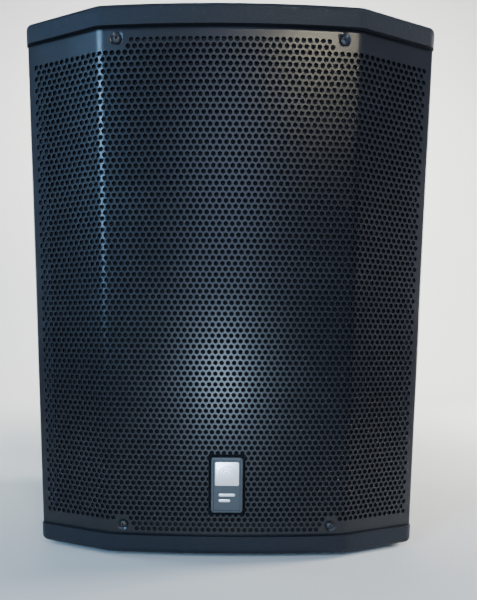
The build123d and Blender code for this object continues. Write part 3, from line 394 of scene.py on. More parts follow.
def painted_wood():
    """Plywood under one coat of dull black paint, with its grain showing through."""
    made = Finish("painted_wood", Specular_IOR_Level=0.25)
    grain = made.noise(1.0, 4.0, 0.6, made.stretched((12.0, 260.0, 260.0)))
    thin = made.noise(18.0, 4.0).above(0.5, 0.8)
    made.set(Base_Color=made.blend(thin * 0.4, (0.005, 0.005, 0.006), (0.016, 0.014, 0.012)))
    made.set(Roughness=0.72 + grain * 0.14)
    return made.relief(grain, 0.0002).material


def open_foam():
    """Open-cell foam: deep round pores between thin strut walls, the pores painted darker as painted shade.
    """
    made = Finish("grille_foam", Roughness=0.95, Specular_IOR_Level=0.1)
    pores = made.cells(1100.0)
    struts_over_pore_shade = pores.above(0.15, 0.6)
    # The pores are painted darker than the strut walls: painted shade in the deep pores.
    made.set(Base_Color=made.blend(struts_over_pore_shade, (0.003, 0.003, 0.004), (0.012, 0.012, 0.014)))
    return made.relief(pores, 0.0006).material


def cloth(name, shade, scale=900.0, depth=0.00018, roughness=0.85):
    """A plain-woven cloth, uneven from thread to thread, with the gaps between threads painted darker as
    painted shade.
    """
    made = Finish(name, Sheen_Weight=0.25, Sheen_Roughness=0.5)
    across = made.node(
        "ShaderNodeTexWave", {"bands_direction": "X"}, Vector=made.place, Scale=scale, Distortion=1.2
    )
    upright = made.node(
        "ShaderNodeTexWave", {"bands_direction": "Z"}, Vector=made.place, Scale=scale, Distortion=1.2
    )
    weave_and_gap_shade = Value(across.outputs["Fac"]) * 0.5 + Value(upright.outputs["Fac"]) * 0.5
    fuzz = made.noise(300.0, 4.0)
    # The gaps between threads are painted darker than the tops of the threads, as painted shade; the fuzz
    # adds uneven tone.
    light = weave_and_gap_shade * 0.6 + fuzz * 0.4
    made.set(Base_Color=made.blend(light, tinted(shade, 0.55), tinted(shade, 1.3)))
    made.set(Roughness=roughness + fuzz * 0.1)
    return made.relief(weave_and_gap_shade + fuzz * 0.4, depth).material


def fleece(name, shade):
    """Needled fibre padding: matted, with clumps and loose strands."""
    made = Finish(name, Sheen_Weight=0.5, Sheen_Roughness=0.6)
    fibres = made.noise(1.0, 6.0, 0.7, made.stretched((500.0, 120.0, 300.0)))
    clumps = made.noise(70.0, 5.0, 0.6)
    light = fibres * 0.6 + clumps * 0.4
    made.set(Base_Color=made.blend(light, tinted(shade, 0.6), tinted(shade, 1.2)))
    made.set(Roughness=0.9 + clumps * 0.08)
    return made.relief(fibres + clumps, 0.0012).material


def pulp(name, shade):
    """Pressed paper with short fibres in it."""
    made = Finish(name, Specular_IOR_Level=0.3)
    fibres = made.noise(1.0, 5.0, 0.65, made.stretched((700.0, 700.0, 260.0)))
    made.set(Base_Color=made.blend(fibres, tinted(shade, 0.7), tinted(shade, 1.5)))
    made.set(Roughness=0.72 + fibres * 0.15)
    return made.relief(fibres, 0.00015).material


def rubber(name, shade):
    """Dull rubber with dust and fine scuffs."""
    made = Finish(name, Specular_IOR_Level=0.35)
    scuffs = made.noise(240.0, 5.0, 0.7)
    dust = made.noise(30.0, 4.0).above(0.45, 0.72)
    made.set(Base_Color=made.blend(dust * 0.6, shade, tinted(shade, 2.4)))
    made.set(Roughness=0.68 + scuffs * 0.2)
    return made.relief(scuffs, 0.00015).material


def windings():
    """Varnished copper coil, wound side by side, with the grooves between turns painted darker as painted
    shade.
    """
    made = Finish("coil_copper", Metallic=1.0, Coat_Roughness=0.15)
    turns = made.node(
        "ShaderNodeTexWave",
        {"bands_direction": "Z", "wave_profile": "SIN"},
        Vector=made.place,
        Scale=420.0,
        Distortion=0.4,
    )
    wire_and_groove_shade = Value(turns.outputs["Fac"])
    # The grooves between turns are painted a darker copper than the tops of the turns: painted shade.
    made.set(Base_Color=made.blend(wire_and_groove_shade, (0.22, 0.07, 0.03), (0.80, 0.36, 0.17)))
    made.set(Roughness=0.24 + (1.0 - wire_and_groove_shade) * 0.2, Coat_Weight=0.6)
    return made.relief(wire_and_groove_shade, 0.0003).material


def speckled(name, shade, roughness=0.6, scale=900.0, contrast=0.5, depth=0.0001):
    """A fired, pressed or laminated body with a fine speckle."""
    made = Finish(name)
    specks = made.cells(scale)
    stain = made.noise(70.0, 4.0)
    made.set(Base_Color=made.blend(specks * contrast, tinted(shade, 1.1), tinted(shade, 0.6)))
    made.set(Roughness=roughness + stain * 0.15)
    return made.relief(specks, depth).material


def every_finish():
    """The finish of each material slot of the record."""
    tone = colours()
    plastic, steel = tuple(tone.plastic), (0.56, 0.57, 0.58)
    return {
        "textured_paint": textured_paint(),
        "bare_plywood": plywood(),
        "painted_wood": painted_wood(),
        "grille_steel": powder_coat("grille_steel", tuple(tone.grille), 0.27),
        "grille_foam": open_foam(),
        "black_steel": powder_coat("black_steel", (0.028, 0.028, 0.030), 0.30),
        "badge_plastic": moulded_plastic("badge_plastic", tuple(tone.badge), 0.34, 1600.0, 0.00002),
        "badge_metal": bare_metal("badge_metal", tuple(tone.foil), 0.25, (2600.0, 60.0, 60.0)),
        "basket_metal": powder_coat("basket_metal", (0.026, 0.026, 0.028), 0.42),
        "gasket_fibre": pulp("gasket_fibre", (0.06, 0.05, 0.045)),
        "surround_cloth": cloth("surround_cloth", (0.028, 0.028, 0.031)),
        "spider_cloth": cloth("spider_cloth", (0.42, 0.27, 0.10), 700.0),
        "cone_paper": pulp("cone_paper", (0.030, 0.029, 0.029)),
        "coil_copper": windings(),
        "plated_steel": bare_metal("plated_steel", steel, 0.28),
        "ferrite": speckled("ferrite", (0.085, 0.085, 0.09), 0.55, 1200.0),
        "terminal_board": speckled("terminal_board", (0.34, 0.24, 0.10), 0.45, 500.0, 0.4),
        "horn_plastic": moulded_plastic("horn_plastic", plastic),
        "driver_metal": powder_coat("driver_metal", (0.040, 0.040, 0.044), 0.45),
        "diaphragm_metal": bare_metal("diaphragm_metal", (0.62, 0.59, 0.55), 0.22),
        "capacitor_film": moulded_plastic("capacitor_film", (0.72, 0.42, 0.03), 0.25, 260.0),
        "resistor_ceramic": speckled("resistor_ceramic", (0.80, 0.79, 0.74), 0.75, 1500.0, 0.3),
        "input_steel": powder_coat("input_steel", (0.017, 0.017, 0.019), 0.40),
        "socket_plastic": moulded_plastic("socket_plastic", tinted(plastic, 0.9), 0.26, 1800.0),
        "switch_button": moulded_plastic("switch_button", (0.72, 0.71, 0.68), 0.38, 1400.0),
        "foot_rubber": rubber("foot_rubber", (0.020, 0.020, 0.020)),
        "damping_fleece": fleece("damping_fleece", (0.075, 0.075, 0.08)),
        "lead_rubber": rubber("lead_rubber", (0.030, 0.030, 0.034)),
    }


def finish_of(slot):
    return bpy.data.materials[MATERIAL_PREFIX + slot]


# ---------------------------------------------------------------- mesh tools
def piece(name, bm, slot, body="cabinet", replaced=(), sharp=40.0, rides=True):
    """A finished object made from a bmesh, on its body and in its material."""
    mesh = bpy.data.meshes.new(name)
    bm.to_mesh(mesh)
    bm.free()
    made = bpy.data.objects.new(name, mesh)
    bpy.context.scene.collection.objects.link(made)
    mesh.materials.append(finish_of(slot))
    mesh.shade_smooth()
    mesh.set_sharp_from_angle(angle=math.radians(sharp))
    if rides:
        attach(made, body)
    if replaced:
        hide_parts(*replaced)
    return made


def verts_of(elements):
    return [e for e in elements if isinstance(e, bmesh.types.BMVert)]


def edges_of(elements):
    return [e for e in elements if isinstance(e, bmesh.types.BMEdge)]


def absorb(whole, bm):
    """Adds a mesh to another one, and frees it."""
    part = bpy.data.meshes.new("part")
    bm.to_mesh(part)
    bm.free()
    whole.from_mesh(part)
    bpy.data.meshes.remove(part)


def repeat(bm, count, step):
    """Copies the whole mesh until there are count of it, each one step further on."""
    seed = bm.verts[:] + bm.edges[:] + bm.faces[:]
    for i in range(1, count):
        copy = bmesh.ops.duplicate(bm, geom=seed)["geom"]
        bmesh.ops.translate(bm, verts=verts_of(copy), vec=Vector(step) * i)


def cut(bm, point, normal, outer=False, near=None):
    """Cuts the mesh by a plane, and drops what lies on the normal's side if outer is set."""
    faces = [f for f in bm.faces if near is None or near(f.calc_center_median())]
    edges = {e for f in faces for e in f.edges}
    verts = {v for f in faces for v in f.verts}
    bmesh.ops.bisect_plane(
        bm,
        geom=[*verts, *edges, *faces],
        dist=1e-7,
        plane_co=point,
        plane_no=normal,
        clear_outer=outer,
    )


def bevelled(bm, edges, width, segments=3):
    bmesh.ops.bevel(
        bm,
        geom=edges,
        offset=width,
        offset_type="OFFSET",
        segments=segments,
        profile=0.5,
        affect="EDGES",
        material=-1,
    )


def rounded_tile(bm, width, height, corner, low, high, edge):
    """A round-cornered plate in the XY plane from low to high, its upper edge softened."""
    made = bmesh.ops.create_cube(bm, size=1.0)["verts"]
    bmesh.ops.scale(bm, verts=made, vec=(width, height, high - low))
    bmesh.ops.translate(bm, verts=made, vec=(0, 0, (low + high) / 2))
    every = {e for v in made for e in v.link_edges}
    bevelled(bm, [e for e in every if abs(e.verts[0].co.z - e.verts[1].co.z) > 1e-6], corner, 6)
    top = [
        e
        for e in bm.edges
        if all(abs(v.co.z - high) < 1e-7 for v in e.verts)
        and len({f.normal.z > 0.9 for f in e.link_faces}) == 2
    ]
    bevelled(bm, top, edge, 3)


def turned(bm, outline, steps, closed=True):
    """A ring or disc turned about Z from (radius, height) corners."""
    verts = [bm.verts.new((r, 0.0, z)) for r, z in outline]
    pairs = list(zip(verts, verts[1:]))
    if closed:
        pairs.append((verts[-1], verts[0]))
    edges = [bm.edges.new(p) for p in pairs]
    bmesh.ops.spin(
        bm,
        geom=verts + edges,
        cent=(0, 0, 0),
        axis=(0, 0, 1),
        angle=math.tau,
        steps=steps,
        use_merge=True,
    )
    bmesh.ops.remove_doubles(bm, verts=bm.verts[:], dist=1e-7)
    bmesh.ops.recalc_face_normals(bm, faces=bm.faces[:])


def facing_front(point):
    """Turns a mesh made in the XY plane so that its Z points out of the front, at a point."""
    return Matrix.Translation(point) @ Matrix.Rotation(math.radians(90.0), 4, "X")


# ---------------------------------------------------------------- the front's shape
def front_stretches():
    """(curvature, length) of each stretch of the grille's face, from the middle outwards."""
    chord = BEND_X - GRILLE_SETBACK * math.tan(FACET_ANGLE / 2)
    bow_turn = 2 * math.atan(FRONT_BOW / chord)
    bow_radius = (chord**2 + FRONT_BOW**2) / (2 * FRONT_BOW)
    bend_turn = FACET_ANGLE - bow_turn
    corner_turn = math.pi / 2 - FACET_ANGLE
    bend_cut = BEND_RADIUS * math.tan(bend_turn / 2)
    corner_cut = CORNER_RADIUS * math.tan(corner_turn / 2)
    run = GRILLE_HIGH.x - chord
    flange = GRILLE_HIGH.y - (GRILLE_LOW.y + FRONT_BOW + run * math.tan(FACET_ANGLE))
    return [
        (1 / bow_radius, bow_radius * bow_turn - bend_cut),
        (1 / BEND_RADIUS, BEND_RADIUS * bend_turn),
        (0.0, run / math.cos(FACET_ANGLE) - bend_cut - corner_cut),
        (1 / CORNER_RADIUS, CORNER_RADIUS * corner_turn),
        (0.0, flange - corner_cut),
    ]


def on_front(stretches, along, height, depth):
    """The point at a distance along the sheet from its middle, and depth behind its face."""
    x, y, heading, left = 0.0, GRILLE_LOW.y, 0.0, abs(along)
    for curvature, run in stretches:
        step = min(left, run)
        if curvature:
            after = heading + curvature * step
            x += (math.sin(after) - math.sin(heading)) / curvature
            y += (math.cos(heading) - math.cos(after)) / curvature
            heading = after
        else:
            x += step * math.cos(heading)
            y += step * math.sin(heading)
        left -= step
        if left <= 0.0:
            break
    x -= depth * math.sin(heading)
    y += depth * math.cos(heading)
    return Vector((math.copysign(x, along), y, height))


def wrap(bm, stretches):
    """Bends a flat sheet, which has its face up in the XY plane, round the cabinet's front."""
    for v in bm.verts:
        v.co = on_front(stretches, v.co.x, v.co.y, -v.co.z)


def stretch_ends(stretches):
    """Where each stretch ends, measured along the sheet from its middle."""
    ends, total = [], 0.0
    for _, run in stretches:
        total += run
        ends.append(total)
    return ends


# ---------------------------------------------------------------- the grille
def row_spacing():
    """The distance between neighbouring rows of holes."""
    return sizes().hole_pitch * math.sqrt(3) / 2


def tiles(columns, rows, top):
    """Six-sided tiles of steel with a hole each, in staggered rows that fill the sheet's plane."""
    pitch, spacing = sizes().hole_pitch, row_spacing()
    bm = bmesh.new()
    bmesh.ops.create_circle(bm, segments=6, radius=pitch / math.sqrt(3))
    bmesh.ops.create_circle(bm, segments=sizes().hole_sides, radius=sizes().hole_width / 2)
    bmesh.ops.triangle_fill(bm, edges=bm.edges[:], use_beauty=True)
    bmesh.ops.translate(bm, verts=bm.verts[:], vec=(-(columns // 2) * pitch, top, 0))
    repeat(bm, columns, (pitch, 0, 0))
    repeat(bm, 2, (pitch / 2, -spacing, 0))
    repeat(bm, rows // 2, (0, -2 * spacing, 0))
    bmesh.ops.remove_doubles(bm, verts=bm.verts[:], dist=pitch * 0.02)
    return bm


def is_open(along, height, ends):
    """Whether the steel has a hole centred here."""
    size, spacing = sizes(), row_spacing()
    last = GRILLE_HIGH.z - size.top_row
    row = round((last - height) / spacing)
    rows = math.floor((last - GRILLE_LOW.z - size.hole_width) / spacing)
    from_end = min(row, rows - row)
    if from_end < 0:
        return False
    if from_end < 2:
        return abs(along) < size.notch_start + size.notch_step * from_end
    return abs(along) < ends[2] - size.side_border


def fill_blank_tiles(bm, top, ends):
    """Closes the holes where the sheet is plain."""
    pitch, spacing = sizes().hole_pitch, row_spacing()
    closed = []
    for edge in bm.edges:
        if not edge.is_boundary:
            continue
        middle = (edge.verts[0].co + edge.verts[1].co) / 2
        row = round((top - middle.y) / spacing)
        shift = pitch / 2 if row % 2 else 0.0
        centre = (round((middle.x - shift) / pitch) * pitch + shift, top - row * spacing)
        near = math.hypot(middle.x - centre[0], middle.y - centre[1])
        if near < sizes().hole_width * 0.51 and not is_open(*centre, ends):
            closed.append(edge)
    bmesh.ops.holes_fill(bm, edges=closed, sides=0)


def screw_places():
    return [
        (side * SCREW_X, height)
        for side in (-1, 1)
        for height in (GRILLE_LOW.z + SCREW_EDGE, GRILLE_HIGH.z - SCREW_EDGE)
    ]


def press_dimple(bm, x, y):
    """Replaces the plain steel round a screw by a round dimple with a hole in its floor."""
    size = sizes()
    centre = Vector((x, y, 0))
    near = size.dimple_width / 2 + DIMPLE_CLEARANCE
    gone = [f for f in bm.faces if (f.calc_center_median() - centre).length < near]
    bmesh.ops.delete(bm, geom=gone, context="FACES")
    rim = [
        e
        for e in bm.edges
        if e.is_boundary and all((v.co - centre).length < near * 1.8 for v in e.verts)
    ]
    ring = bmesh.ops.create_circle(bm, segments=36, radius=size.dimple_width / 2)["verts"]
    bmesh.ops.translate(bm, verts=ring, vec=centre)
    loop = list({e for v in ring for e in v.link_edges})
    bmesh.ops.triangle_fill(bm, edges=rim + loop, use_beauty=True)
    for share, depth in DIMPLE_PROFILE:
        made = bmesh.ops.extrude_edge_only(bm, edges=loop)["geom"]
        loop, ring = edges_of(made), verts_of(made)
        for v in ring:
            spoke = (v.co - centre).xy.normalized() * (size.dimple_width / 2 * share)
            v.co = centre + Vector((spoke.x, spoke.y, -size.dimple_depth * depth))


def cut_badge_opening(bm):
    """Opens the sheet round the badge, through whatever holes lie in the way."""
    gap = sizes().badge_gap
    low = Vector((BADGE_LOW.x - gap, BADGE_LOW.z - gap, 0))
    high = Vector((BADGE_HIGH.x + gap, BADGE_HIGH.z + gap, 0))
    reach = sizes().hole_pitch * 1.5

    def near(c):
        return low.x - reach < c.x < high.x + reach and low.y - reach < c.y < high.y + reach

    for point, normal in ((low, (1, 0, 0)), (low, (0, 1, 0)), (high, (1, 0, 0)), (high, (0, 1, 0))):
        cut(bm, point, normal, near=near)
    gone = [
        f
        for f in bm.faces
        if low.x < f.calc_center_median().x < high.x and low.y < f.calc_center_median().y < high.y
    ]
    bmesh.ops.delete(bm, geom=gone, context="FACES")


def flat_grille(stretches):
    """The whole sheet before it is bent, with its holes, dimples and opening."""
    size = sizes()
    spacing = row_spacing()
    ends = stretch_ends(stretches)
    top = GRILLE_HIGH.z - size.top_row + 4 * spacing
    columns = 2 * math.ceil(ends[-1] / size.hole_pitch) + 3
    rows = 2 * math.ceil((top - GRILLE_LOW.z) / spacing / 2) + 2
    bm = tiles(columns, rows, top)
    fill_blank_tiles(bm, top, ends)
    for x, y in screw_places():
        press_dimple(bm, x, y)
    cut_badge_opening(bm)
    cut(bm, (0, GRILLE_HIGH.z, 0), (0, 1, 0), outer=True)
    cut(bm, (0, GRILLE_LOW.z, 0), (0, -1, 0), outer=True)
    for side in (-1, 1):
        cut(bm, (side * ends[4], 0, 0), (side, 0, 0), outer=True)
        for start, end, parts in ((ends[0], ends[1], BOW_CUTS), (ends[2], ends[3], CORNER_CUTS)):
            for i in range(parts + 1):
                at = side * (start + (end - start) * i / parts)
                cut(bm, (at, 0, 0), (1, 0, 0), near=lambda c: abs(c.x - at) < size.hole_pitch)
    return bm


def grille_pieces():
    """The grille's middle and its two facets with their flanges, which meet in the bow."""
    stretches = front_stretches()
    whole = flat_grille(stretches)
    flat = bpy.data.meshes.new("flat_grille")
    whole.to_mesh(flat)
    whole.free()
    seam = stretch_ends(stretches)[0] - SEAM_INSET
    parts = (
        ("grille_left_facet", ((-seam, 1),)),
        ("grille_middle", ((-seam, -1), (seam, 1))),
        ("grille_right_facet", ((seam, -1),)),
    )
    for name, planes in parts:
        bm = bmesh.new()
        bm.from_mesh(flat)
        for at, side in planes:
            cut(bm, (at, 0, 0), (side, 0, 0), outer=True)
        bmesh.ops.remove_doubles(bm, verts=bm.verts[:], dist=1e-6)
        bm.normal_update()
        wrong = [f for f in bm.faces if f.normal.z < -0.01]
        bmesh.ops.reverse_faces(bm, faces=wrong)
        wrap(bm, stretches)
        bm.normal_update()
        bmesh.ops.solidify(bm, geom=bm.faces[:], thickness=SHEET)
        piece(name, bm, "grille_steel", replaced=("grille",))
    bpy.data.meshes.remove(flat)


class CABINET_OT_grille(bpy.types.Operator):
    """Punch, dimple and bend the steel grille"""

    bl_idname = "cabinet.grille"
    bl_label = "Grille"

    def execute(self, context):
        grille_pieces()
        return {"FINISHED"}


class CABINET_OT_screws(bpy.types.Operator):
    """Put the four button-head screws into the grille's dimples"""

    bl_idname = "cabinet.screws"
    bl_label = "Grille screws"

    def execute(self, context):
        stretches = front_stretches()
        whole = bmesh.new()
        for along, height in screw_places():
            bm = bmesh.new()
            turned(bm, [(r * MM, z * MM) for r, z in SCREW_OUTLINE], 40, closed=False)
            crown = [f for f in bm.faces if f.calc_center_median().z > SCREW_CROWN]
            bmesh.ops.delete(bm, geom=crown, context="FACES")
            loop = [e for e in bm.edges if e.is_boundary and e.calc_length() > 1e-5]
            hexagon = bmesh.ops.create_circle(bm, segments=6, radius=SOCKET_RADIUS)["verts"]
            bmesh.ops.translate(bm, verts=hexagon, vec=(0, 0, SOCKET_TOP))
            six = list({e for v in hexagon for e in v.link_edges})
            bmesh.ops.triangle_fill(bm, edges=loop + six, use_beauty=True)
            down = bmesh.ops.extrude_edge_only(bm, edges=six)["geom"]
            bmesh.ops.translate(bm, verts=verts_of(down), vec=(0, 0, -SOCKET_DEPTH))
            bmesh.ops.holes_fill(bm, edges=edges_of(down), sides=0)
            bmesh.ops.recalc_face_normals(bm, faces=bm.faces[:])
            seat = on_front(stretches, along, height, sizes().dimple_depth - 0.1 * MM)
            behind = on_front(stretches, along, height, 0.02)
            turn = Vector((0, 0, -1)).rotation_difference((behind - seat).normalized())
            bm.transform(Matrix.Translation(seat) @ turn.to_matrix().to_4x4())
            absorb(whole, bm)
        piece("grille_screw_heads", whole, "black_steel", replaced=("grille_screws",), sharp=35.0)
        return {"FINISHED"}


class CABINET_OT_foam(bpy.types.Operator):
    """Lay the foam behind the grille"""

    bl_idname = "cabinet.foam"
    bl_label = "Grille foam"

    def execute(self, context):
        stretches = front_stretches()
        low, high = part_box("grille_foam")
        ends = stretch_ends(stretches)
        reach = ends[1] + (high.x - BEND_X) / math.cos(FACET_ANGLE) - FOAM_SIDE_GAP
        bm = bmesh.new()
        bmesh.ops.create_grid(bm, x_segments=90, y_segments=100, size=0.5)
        bmesh.ops.scale(bm, verts=bm.verts[:], vec=(2 * reach, high.z - low.z, 1))
        bmesh.ops.translate(bm, verts=bm.verts[:], vec=(0, (low.z + high.z) / 2, -FOAM_SETBACK))
        wrap(bm, stretches)
        bm.normal_update()
        bmesh.ops.solidify(bm, geom=bm.faces[:], thickness=sizes().foam_depth)
        made = piece("foam_sheet", bm, "grille_foam", replaced=("grille_foam",), sharp=60.0)
        return {"FINISHED"}


# ---------------------------------------------------------------- the badge
class CABINET_OT_badge(bpy.types.Operator):
    """Make the badge: a framed plate, a ringed tile and two plain bars"""

    bl_idname = "cabinet.badge"
    bl_label = "Badge"

    def execute(self, context):
        centre = (BADGE_LOW + BADGE_HIGH) / 2
        width, height = BADGE_HIGH.x - BADGE_LOW.x, BADGE_HIGH.z - BADGE_LOW.z
        depth = BADGE_HIGH.y - BADGE_LOW.y
        back = facing_front(Vector((centre.x, BADGE_HIGH.y, centre.z)))
        self.plate(width, height, depth, back)
        self.tile(width, height, depth, back)
        self.bars(height, depth, back)
        return {"FINISHED"}

    def plate(self, width, height, depth, back):
        bm = bmesh.new()
        rounded_tile(bm, width, height, BADGE_CORNER, 0.0, depth, BADGE_EDGE)
        for inset, sunk in ((BADGE_FRAME, 0.0), (BADGE_STEP, BADGE_RECESS)):
            face = max(bm.faces, key=lambda f: (round(f.calc_center_median().z, 6), f.calc_area()))
            bmesh.ops.inset_region(bm, faces=[face], thickness=inset, depth=-sunk)
        bm.transform(back)
        piece("badge_body", bm, "badge_plastic", replaced=("badge_plate",), sharp=50.0)

    def tile(self, width, height, depth, back):
        side = width - 2 * TILE_MARGIN
        floor = depth - BADGE_RECESS
        bm = bmesh.new()
        rounded_tile(bm, side, side, TILE_CORNER, floor, floor + TILE_HEIGHT, TILE_EDGE)
        for radius in RING_RADII:
            outer, inner = radius - RING_SLOPE, radius - RING_WIDTH + RING_SLOPE
            ring = bmesh.new()
            profile = [(radius, floor + RING_LOW), (outer, floor + RING_HIGH)]
            profile += [(inner, floor + RING_HIGH), (radius - RING_WIDTH, floor + RING_LOW)]
            turned(ring, profile, 48)
            absorb(bm, ring)
        high = height / 2 - TILE_TOP_GAP - side / 2
        bm.transform(back @ Matrix.Translation((0, high, 0)))
        piece("badge_tile", bm, "badge_metal", replaced=("badge_inlay",), sharp=35.0)

    def bars(self, height, depth, back):
        floor = depth - BADGE_RECESS
        whole = bmesh.new()
        for i, run in enumerate(BAR_LENGTHS):
            bm = bmesh.new()
            rounded_tile(bm, run, BAR_WIDTH, BAR_CORNER, floor, floor + BAR_HEIGHT, BAR_EDGE)
            middle = ((run - BAR_LENGTHS[0]) / 2, BAR_LEVEL - height / 2 - BAR_STEP * i, 0)
            bm.transform(Matrix.Translation(middle))
            absorb(whole, bm)
        whole.transform(back)
        piece("badge_bars", whole, "badge_metal", replaced=("badge_inlay",), sharp=35.0)


# ---------------------------------------------------------------- woofer suspension
def radial_blend(made, centre, inner, outer):
    """Lets a round piece follow the cone at its inner edge and the cabinet at its outer edge."""
    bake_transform(made, "cone", "cabinet", start=centre, end=centre + Vector((outer, 0, 0)))
    share = made.data.attributes["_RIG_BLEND"]
    for v, item in zip(made.data.vertices, share.data):
        radius = math.hypot(v.co.x - centre.x, v.co.z - centre.z)
        t = min(1.0, max(0.0, (radius - inner) / (outer - inner)))
        item.value = t * t * (3 - 2 * t)


class CABINET_OT_suspension(bpy.types.Operator):
    """Make the woofer's surround and spider, which bend as the cone travels"""

    bl_idname = "cabinet.suspension"
    bl_label = "Woofer suspension"

    def execute(self, context):
        self.surround()
        self.spider()
        return {"FINISHED"}

    def surround(self):
        low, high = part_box("woofer_surround")
        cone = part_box("woofer_cone")[1].x
        outer, rim = high.x, 8.0 * MM
        wall, clearance = 0.9 * MM, 0.4 * MM
        near, far = cone + clearance, outer - rim
        rise = high.y - low.y - 0.1 * MM
        steps = 14
        arc = [math.pi * i / steps for i in range(steps + 1)]
        middle, half = (near + far) / 2, (far - near) / 2
        outside = [(middle - half * math.cos(a), rise * math.sin(a)) for a in arc]
        inside = [(middle - (half - wall) * math.cos(a), (rise - wall) * math.sin(a)) for a in arc]
        outline = outside + [(outer, wall), (outer, 0.0)] + inside[::-1]
        bm = bmesh.new()
        turned(bm, outline, 96)
        centre = Vector(((low.x + high.x) / 2, high.y, (low.z + high.z) / 2))
        bm.transform(facing_front(centre))
        replaced = ("woofer_surround",)
        made = piece("surround_roll", bm, "surround_cloth", replaced=replaced, sharp=60.0, rides=False)
        radial_blend(made, centre, near + wall, far)

    def spider(self):
        low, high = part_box("woofer_spider")
        clearance, rim, half_wall = 0.4 * MM, 4.6 * MM, 0.35 * MM
        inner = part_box("woofer_voice_coil")[1].x + clearance
        outer = high.x
        flat = outer - rim
        waves, fine = 5, 8
        depth = (high.y - low.y) / 2 - 0.5 * MM
        run = [inner + (flat - inner) * i / (waves * fine) for i in range(waves * fine + 1)]
        upper = [(r, depth * math.sin(math.pi * i / fine) + half_wall) for i, r in enumerate(run)]
        lower = [(r, z - 2 * half_wall) for r, z in upper]
        outline = upper + [(outer, half_wall), (outer, -half_wall)] + lower[::-1]
        bm = bmesh.new()
        turned(bm, outline, 72)
        centre = Vector(((low.x + high.x) / 2, (low.y + high.y) / 2, (low.z + high.z) / 2))
        bm.transform(facing_front(centre))
        replaced = ("woofer_spider",)
        made = piece("spider_disc", bm, "spider_cloth", replaced=replaced, sharp=60.0, rides=False)
        radial_blend(made, centre, inner, flat)


# ---------------------------------------------------------------- padding
def pad(low, high, turn=0.0):
    """A fibre pad: crowned on both faces and pulled in at its edges."""
    size = high - low
    bm = bmesh.new()
    bmesh.ops.create_cube(bm, size=1.0)
    bmesh.ops.subdivide_edges(bm, edges=bm.edges[:], cuts=11, use_grid_fill=True)
    for v in bm.verts:
        x, z = 2 * v.co.x, 2 * v.co.z
        crown = (1 - x**4) * (1 - z**4)
        lump = 0.03 * math.sin(9 * x + 4 * z) * math.cos(7 * z)
        v.co.y *= 0.55 + 0.43 * crown**0.4 + lump * crown
        v.co = Vector((v.co.x * size.x, v.co.y * size.y, v.co.z * size.z))
    bmesh.ops.smooth_vert(
        bm, verts=bm.verts[:], factor=0.4, use_axis_x=True, use_axis_y=True, use_axis_z=True
    )
    middle = (low + high) / 2
    bm.transform(Matrix.Translation(middle) @ Matrix.Rotation(turn, 4, "Z"))
    return bm


class CABINET_OT_padding(bpy.types.Operator):
    """Make the fibre pads inside the box"""

    bl_idname = "cabinet.padding"
    bl_label = "Damping pads"

    def execute(self, context):
        low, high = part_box("rear_damping_pad")
        replaced = ("rear_damping_pad",)
        made = piece("rear_pad", pad(low, high), "damping_fleece", replaced=replaced)
        low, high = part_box("side_damping_pads")
        wall_low, wall_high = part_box("right_rear_panel")
        turn = math.atan2(wall_high.y - wall_low.y, -(wall_high.x - wall_low.x))
        inner = self.inner_edge()
        for name, side in (("left_pad", -1), ("right_pad", 1)):
            self.side_pad(name, side, low, high, inner, turn)
        return {"FINISHED"}

    def inner_edge(self):
        """The smallest distance of the side pads from the middle."""
        mesh = frame["nodes"]["side_damping_pads"].data
        return min(abs(v.co.x) for v in mesh.vertices)

    def side_pad(self, name, side, low, high, inner, turn):
        thick = SIDE_PAD_THICKNESS
        across = high.x - inner
        angle = abs(math.pi - turn)
        run = (across - thick * math.sin(angle)) / math.cos(angle)
        centre = Vector((side * (inner + high.x) / 2, (low.y + high.y) / 2, (low.z + high.z) / 2))
        half = Vector((run / 2, thick / 2, (high.z - low.z) / 2)) * SIDE_PAD_SHARE
        bm = pad(centre - half, centre + half, -side * angle)
        made = piece(name, bm, "damping_fleece", replaced=("side_damping_pads",))


# ---------------------------------------------------------------- finishes on the frame
class CABINET_OT_finishes(bpy.types.Operator):
    """Make every finish and put it on the pieces of the frame"""

    bl_idname = "cabinet.finishes"
    bl_label = "Finishes"

    def execute(self, context):
        made = every_finish()
        for part in frame["record"]["subparts"]:
            node = frame["nodes"][part["node"]]
            for holder in node.material_slots:
                holder.material = made[part["material_slot"]]
        return {"FINISHED"}


# ---------------------------------------------------------------- stage
def soft_light(name, place, target, width, height, watts, shade, spread):
    data = bpy.data.lights.new(name, "AREA")
    data.shape = "RECTANGLE"
    data.size, data.size_y = width, height
    data.energy = watts
    data.spread = math.radians(spread)
    data.color = shade
    lamp = bpy.data.objects.new(name, data)
    bpy.context.scene.collection.objects.link(lamp)
    lamp.location = place
    aim = Vector(target) - Vector(place)
    lamp.rotation_euler = aim.to_track_quat("-Z", "Y").to_euler()
    lamp.visible_camera = False


